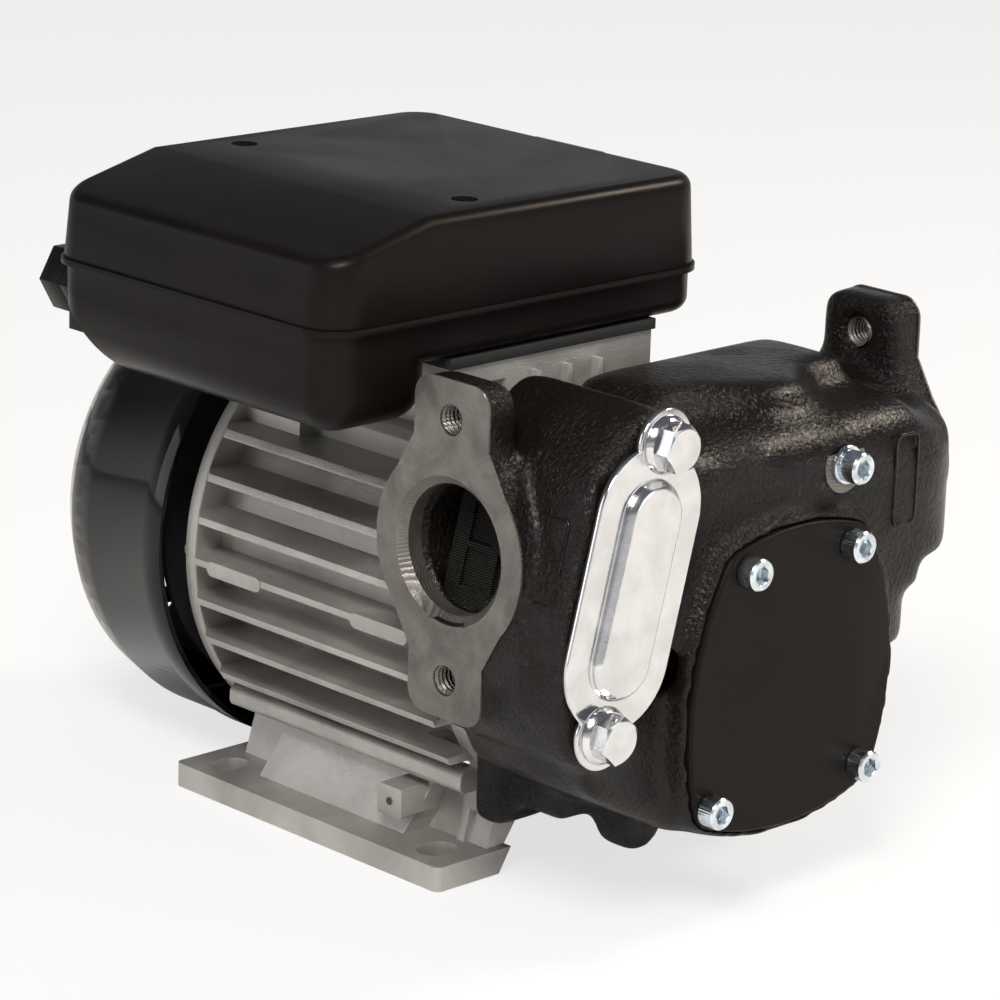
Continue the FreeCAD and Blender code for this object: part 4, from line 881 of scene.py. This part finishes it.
class PUMP_OT_stage(bpy.types.Operator):
    """Sets the camera, the soft studio light and the pale floor"""

    bl_idname = "pump.stage"
    bl_label = "Stage"

    def execute(self, context):
        self.camera(context)
        self.world(context)
        self.floor()
        self.lamps()
        context.scene.view_settings.view_transform = "Standard"
        return {"FINISHED"}

    def camera(self, context):
        azimuth, elevation, roll = CAMERA_AZIMUTH, CAMERA_ELEVATION, CAMERA_ROLL
        away = Vector((math.sin(azimuth) * math.cos(elevation),
                       -math.cos(azimuth) * math.cos(elevation), math.sin(elevation)))
        right = Vector((0, 0, 1)).cross(away).normalized()
        up = away.cross(right).normalized()
        turned_right = right * math.cos(roll) + up * math.sin(roll)
        turned_up = up * math.cos(roll) - right * math.sin(roll)
        data = bpy.data.cameras.new("camera")
        data.lens = CAMERA_LENS
        data.sensor_width = 36.0
        data.clip_start = 0.05
        data.clip_end = 50.0
        camera = bpy.data.objects.new("camera", data)
        context.scene.collection.objects.link(camera)
        basis = Matrix((turned_right, turned_up, away)).transposed().to_4x4()
        place = Vector(CAMERA_TARGET) + away * CAMERA_DISTANCE
        camera.matrix_world = Matrix.Translation(place) @ basis
        context.scene.camera = camera

    def world(self, context):
        world = bpy.data.worlds.new("studio")
        context.scene.world = world
        world.use_nodes = True
        tree = world.node_tree
        tree.nodes.clear()
        out = tree.nodes.new("ShaderNodeOutputWorld")
        place = tree.nodes.new("ShaderNodeTexCoord")
        parts = tree.nodes.new("ShaderNodeSeparateXYZ")
        link(tree, place.outputs["Generated"], parts.inputs[0])
        height = ramp_node(tree, parts.outputs["Z"], 0.0, HORIZON_HEIGHT)
        shown = tree.nodes.new("ShaderNodeMix")
        shown.data_type = "RGBA"
        set_inputs(tree, shown, {"A": HORIZON, "B": CEILING, "Factor": height})
        path = tree.nodes.new("ShaderNodeLightPath")
        ambient = self.background(tree, AMBIENT_TINT, AMBIENT_STRENGTH)
        mirrored = self.background(tree, shown.outputs["Result"], MIRRORED_STRENGTH)
        seen = self.background(tree, WHITE, 1.0)
        glossy = math_node(tree, "MAXIMUM", path.outputs["Is Glossy Ray"],
                           path.outputs["Is Transmission Ray"])
        lit = self.mixed(tree, glossy, ambient, mirrored)
        whole = self.mixed(tree, path.outputs["Is Camera Ray"], lit, seen)
        link(tree, whole, out.inputs["Surface"])

    def background(self, tree, colour, strength):
        node = tree.nodes.new("ShaderNodeBackground")
        return set_inputs(tree, node, {"Color": colour, "Strength": strength}).outputs[0]

    def mixed(self, tree, share, first, second):
        mix = tree.nodes.new("ShaderNodeMixShader")
        return set_inputs(tree, mix, {0: share, 1: first, 2: second}).outputs[0]

    def floor(self):
        bm = bmesh.new()
        bmesh.ops.create_grid(bm, x_segments=1, y_segments=1, size=FLOOR_HALF_SIZE)
        mesh = bpy.data.meshes.new("floor")
        bm.to_mesh(mesh)
        bm.free()
        floor = bpy.data.objects.new("floor", mesh)
        bpy.context.scene.collection.objects.link(floor)
        floor.location.z = -FLOOR_DROP
        material, tree, shader = new_material("Pale floor", 0.0, 0.7)
        shader.inputs["Base Color"].default_value = FLOOR_COLOUR
        path = tree.nodes.new("ShaderNodeLightPath")
        glow = tree.nodes.new("ShaderNodeEmission")
        glow.inputs["Color"].default_value = WHITE
        share = math_node(tree, "MULTIPLY", path.outputs["Is Camera Ray"], FLOOR_GLOW)
        mix = self.mixed(tree, share, shader.outputs[0], glow.outputs[0])
        link(tree, mix, tree.nodes["Material Output"].inputs["Surface"])
        mesh.materials.append(material)

    def lamps(self):
        for name, place, size, power, tint in LAMPS:
            data = bpy.data.lights.new(name, "AREA")
            data.size = size
            data.energy = power
            data.color = tint
            lamp = bpy.data.objects.new(name, data)
            bpy.context.scene.collection.objects.link(lamp)
            lamp.location = place
            aim = LAMP_AIM - Vector(place)
            lamp.rotation_euler = aim.to_track_quat("-Z", "Y").to_euler()


class PUMP_OT_moulded_shapes(bpy.types.Operator):
    """Rounds the edges of the castings, sheets and mouldings that are seen"""

    bl_idname = "pump.moulded_shapes"
    bl_label = "Moulded and cast shapes"

    def execute(self, context):
        edge = sizes().frame_edge
        for node, name in (("motor_housing", "frame_casting"),
                           ("rear_end_shield", "rear_shield_casting")):
            softened_copy(node, name, edge, 2, "frame_metal", "motor_casting")
        for settings in SOFTENED:
            softened_copy(*settings)
        return {"FINISHED"}


class PUMP_OT_screws(bpy.types.Operator):
    """Makes the socket screws, the strainer's flange bolts and the small screws"""

    bl_idname = "pump.screws"
    bl_label = "Screws"

    def execute(self, context):
        self.cover_screws()
        self.long_screw()
        self.filter_bolts()
        self.small_screws()
        return {"FINISHED"}

    def finish_screws(self, name, bm, finish, slot, node=None):
        piece = make_piece(name, bm, finish, "base")
        shade_by_angle(piece, 28.0)
        if node:
            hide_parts(node)

    def socket_screw(self, length):
        radius = SOCKET_SCREW_RADIUS
        return merge_into(socket_head(radius), self.shank(radius, length))

    def shank(self, radius, length):
        radius -= THREAD_CLEARANCE
        return ringed([round_ring(radius, 0), round_ring(radius, -length)], count=16)

    def cover_screws(self):
        bm = bmesh.new()
        for (x, z), turn in zip(COVER_SCREWS, COVER_SCREW_TURNS):
            place = facing_front(x, PUMP_FRONT, z) @ Matrix.Rotation(turn, 4, "Z")
            merge_into(bm, placed(self.socket_screw(COVER_SCREW_LENGTH), place))
        self.finish_screws("cover_socket_screws", bm, "zinc_screw", "zinc_screws", "cover_screws")

    def long_screw(self):
        x, z = LONG_SCREW
        seat = SPOT_PLANE - WASHER_THICKNESS
        screw = placed(self.socket_screw(LONG_SCREW_LENGTH),
                       facing_front(x, seat, z) @ Matrix.Rotation(LONG_SCREW_TURN, 4, "Z"))
        self.finish_screws("long_socket_screw", screw, "zinc_screw", "zinc_screws", "long_screw")
        washer = closed_ring(WASHER_SECTION)
        bmesh.ops.scale(washer, vec=(WASHER_SHARE, WASHER_SHARE, 1.0), verts=washer.verts)
        placed(washer, facing_front(x, SPOT_PLANE, z))
        self.finish_screws("long_screw_washer", washer, "zinc_screw", "zinc_screws", "long_washer")

    def filter_bolts(self):
        bm = bmesh.new()
        seat = BODY_FACE - FILTER_GASKET - FILTER_SHEET
        for side, turn in zip((-1, 1), FILTER_BOLT_TURNS):
            reach = side * FILTER_BOLT_SPACING / 2
            x = STRAINER[0] + reach * math.sin(STRAINER_LEAN)
            z = STRAINER[1] + reach * math.cos(STRAINER_LEAN)
            bolt = merge_into(flange_head(*FILTER_BOLT_HEAD),
                              self.shank(FILTER_BOLT_RADIUS, FILTER_BOLT_LENGTH))
            merge_into(bm, placed(bolt, facing_front(x, seat, z) @ Matrix.Rotation(turn, 4, "Z")))
        self.finish_screws("strainer_cover_bolts", bm, "zinc_sheet", "zinc_screws", "filter_bolts")

    def small_screws(self):
        low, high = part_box("box_lid")
        seat = BOX_TOP - LID_SCREW_DEPTH
        on_lid = [Matrix.Translation((LID_SCREW_X, y, seat))
                  for y in (low.y + LID_SCREW_INSET, high.y - LID_SCREW_INSET)]
        on_cowl = [self.round_shaft(degrees, COWL_SCREW_Y, COWL_SCREW_REACH)
                   for degrees in COWL_SCREW_ANGLES]
        rearwards = Matrix.Rotation(math.radians(-90), 4, "X")
        on_shield = [self.round_shaft(degrees, SHIELD_SCREW_Y, SHIELD_SCREW_REACH) @ rearwards
                     for degrees in SHIELD_SCREW_ANGLES]
        for name, head, places in (("lid_screws", LID_SCREW_HEAD, on_lid),
                                   ("cowl_screws", COWL_SCREW_HEAD, on_cowl),
                                   ("shield_screws", SHIELD_SCREW_HEAD, on_shield)):
            bm = bmesh.new()
            for place in places:
                merge_into(bm, placed(pan_head(*head), place))
            self.finish_screws(name, bm, "zinc_screw", "zinc_screws")

    def round_shaft(self, degrees, y, reach):
        """A place at a reach from the shaft, at an angle from straight up."""
        turn = Matrix.Rotation(math.radians(degrees), 4, "Y")
        return Matrix.Translation((0, y, SHAFT_Z)) @ turn @ Matrix.Translation((0, 0, reach))


class PUMP_OT_port_threads(bpy.types.Operator):
    """Cuts the screw threads seen in the flange holes"""

    bl_idname = "pump.port_threads"
    bl_label = "Flange threads"

    def execute(self, context):
        pitch = sizes().thread_pitch
        turns = int((FLANGE_THICKNESS - THREAD_RUNOUT) / pitch)
        threads = bmesh.new()
        for side in (-1, 1):
            for up in (-1, 1):
                place = facing_side(side, PORT_Y, PORT_Z + up * PORT_HOLE_PITCH / 2)
                merge_into(threads, placed(self.thread(pitch, turns), place))
        bmesh.ops.recalc_face_normals(threads, faces=threads.faces)
        piece = make_piece("flange_threads", threads, "machined_iron", "base")
        shade_by_angle(piece)
        return {"FINISHED"}

    def thread(self, pitch, turns):
        """One hole's thread, wound down from height 0."""
        bm = bmesh.new()
        crest = THREAD_ROOT - THREAD_DEPTH
        points = ((THREAD_ROOT, 0, 0.0), (crest, 0, -pitch * THREAD_FLAT[0]),
                  (crest, 0, -pitch * THREAD_FLAT[1]), (THREAD_ROOT, 0, -pitch))
        verts = [bm.verts.new(point) for point in points]
        edges = [bm.edges.new(pair) for pair in zip(verts, verts[1:])]
        bmesh.ops.spin(bm, geom=verts + edges, cent=(0, 0, 0), axis=(0, 0, 1),
                       dvec=(0, 0, -pitch / THREAD_STEPS), angle=math.tau * turns,
                       steps=THREAD_STEPS * turns, use_merge=False, use_duplicate=False)
        bmesh.ops.remove_doubles(bm, verts=bm.verts, dist=MERGE_GAP)
        bmesh.ops.translate(bm, vec=(0, 0, -THREAD_LEAD), verts=bm.verts)
        return bm


class PUMP_OT_bare_panels(bpy.types.Operator):
    """Raises the cast marking frames, left without letters"""

    bl_idname = "pump.bare_panels"
    bl_label = "Bare marking panels"

    def execute(self, context):
        x, z = FRONT_MARK_PLACE
        bm = placed(rounded_frame(*FRONT_MARK, MARK_CORNER, MARK_BAND, MARK_LIFT),
                    facing_front(x, BODY_FACE + MARK_SINK, z))
        lean = Matrix.Rotation(STRAINER_LEAN, 4, "Y")
        middle = Matrix.Translation((STRAINER[0], 0, STRAINER[1]))
        out = Matrix.Translation((SIDE_MARK_PLACE[0] + MARK_SINK, *SIDE_MARK_PLACE[1:]))
        quarter = math.radians(90)
        turn = Matrix.Rotation(-quarter, 4, "Y") @ Matrix.Rotation(quarter, 4, "Z")
        merge_into(bm, placed(rounded_frame(*SIDE_MARK, MARK_CORNER, MARK_BAND, MARK_LIFT),
                              middle @ lean @ out @ turn))
        make_piece("bare_marking_frames", bm, "pump_paint", "base")
        return {"FINISHED"}


class PUMP_OT_bypass_coil(bpy.types.Operator):
    """Gives the bypass valve's spring a smooth-shaded copy with its own mesh"""

    bl_idname = "pump.bypass_coil"
    bl_label = "Bypass spring"

    def execute(self, context):
        coil = make_piece("bypass_coil", cad_copy("bypass_spring"), "spring_steel", "base")
        shade_by_angle(coil, 50.0)
        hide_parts("bypass_spring")
        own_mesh(coil)
        return {"FINISHED"}


class PUMP_OT_bore_liner(bpy.types.Operator):
    """Closes the motor frame's bore where the screw pockets cut into it"""

    bl_idname = "pump.bore_liner"
    bl_label = "Motor bore liner"

    def execute(self, context):
        inside = LINER_RADIUS - LINER_WALL
        liner = closed_ring(((LINER_RADIUS, -LINER_REAR), (LINER_RADIUS, -LINER_FRONT),
                             (inside, -LINER_FRONT), (inside, -LINER_REAR)), 96)
        placed(liner, facing_front(0, 0, SHAFT_Z))
        piece = make_piece("motor_bore_liner", liner, "frame_metal", "base")
        shade_by_angle(piece)
        return {"FINISHED"}


class PUMP_OT_earth_mark(bpy.types.Operator):
    """Paints shade as a dark disc where the foot's earth boss has its drilled centre"""

    bl_idname = "pump.earth_mark"
    bl_label = "Earth boss centre shade"

    def execute(self, context):
        rim = ringed([round_ring(0.0001, 0.00002), round_ring(EARTH_CENTRE_RADIUS, 0.00004)],
                     count=32, closed_start=True, closed_end=False)
        turn = Matrix.Rotation(math.radians(-90), 4, "Y")
        placed(rim, Matrix.Translation(EARTH_BOSS) @ turn)
        # The dark disc is painted shade where the drilled hole would be.
        make_piece("earth_boss_centre", rim, "shadow_iron", "base")
        return {"FINISHED"}


class PUMP_OT_strainer_cloth(bpy.types.Operator):
    """Wraps the strainer's woven cloth inside its slotted frame"""

    bl_idname = "pump.strainer_cloth"
    bl_label = "Strainer cloth"

    def execute(self, context):
        low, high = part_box("strainer")
        radius, half = CLOTH_RADIUS, CLOTH_HALF_SPACING
        front, rear = low.y + CLOTH_FRONT_INSET, high.y - CLOTH_REAR_INSET
        cloth = ringed([racetrack_ring(radius, half, -front), racetrack_ring(radius, half, -rear)],
                       count=96)
        middle = Matrix.Translation((STRAINER[0], 0, STRAINER[1]))
        lean = Matrix.Rotation(STRAINER_LEAN - math.pi / 2, 4, "Y")
        placed(cloth, middle @ lean @ Matrix.Rotation(math.radians(90), 4, "X"))
        piece = make_piece("strainer_cloth", cloth, "mesh_steel", "base")
        shade_by_angle(piece, 40.0)
        return {"FINISHED"}


OPERATORS = (PUMP_OT_stage, PUMP_OT_finishes, PUMP_OT_casting, PUMP_OT_cut_faces,
             PUMP_OT_moulded_shapes, PUMP_OT_screws, PUMP_OT_port_threads, PUMP_OT_bare_panels,
             PUMP_OT_strainer_cloth, PUMP_OT_bore_liner, PUMP_OT_earth_mark,
             PUMP_OT_bypass_coil)


class PUMP_PT_panel(bpy.types.Panel):
    """Lists the pump's pieces and sizes"""

    bl_idname = "PUMP_PT_panel"
    bl_label = "Diesel transfer pump"
    bl_space_type = "VIEW_3D"
    bl_region_type = "UI"
    bl_category = "Pump"

    def draw(self, context):
        for group in (context.scene.pump_sizes, context.scene.pump_colours):
            for name in group.bl_rna.properties.keys():
                if name not in ("rna_type", "name"):
                    self.layout.prop(group, name)
        for operator in OPERATORS:
            self.layout.operator(operator.bl_idname)


CLASSES = (PumpSizes, PumpColours) + OPERATORS + (PUMP_PT_panel,)


def register():
    for cls in CLASSES:
        bpy.utils.register_class(cls)
    bpy.types.Scene.pump_sizes = bpy.props.PointerProperty(type=PumpSizes)
    bpy.types.Scene.pump_colours = bpy.props.PointerProperty(type=PumpColours)


def unregister():
    del bpy.types.Scene.pump_colours
    del bpy.types.Scene.pump_sizes
    for cls in reversed(CLASSES):
        bpy.utils.unregister_class(cls)


def main():
    register()
    bpy.ops.pump.stage()
    bpy.ops.pump.finishes()
    bpy.ops.pump.casting()
    bpy.ops.pump.cut_faces()
    bpy.ops.pump.moulded_shapes()
    bpy.ops.pump.screws()
    bpy.ops.pump.port_threads()
    bpy.ops.pump.bare_panels()
    bpy.ops.pump.strainer_cloth()
    bpy.ops.pump.bore_liner()
    bpy.ops.pump.earth_mark()
    bpy.ops.pump.bypass_coil()


if __name__ == "__main__":
    main()
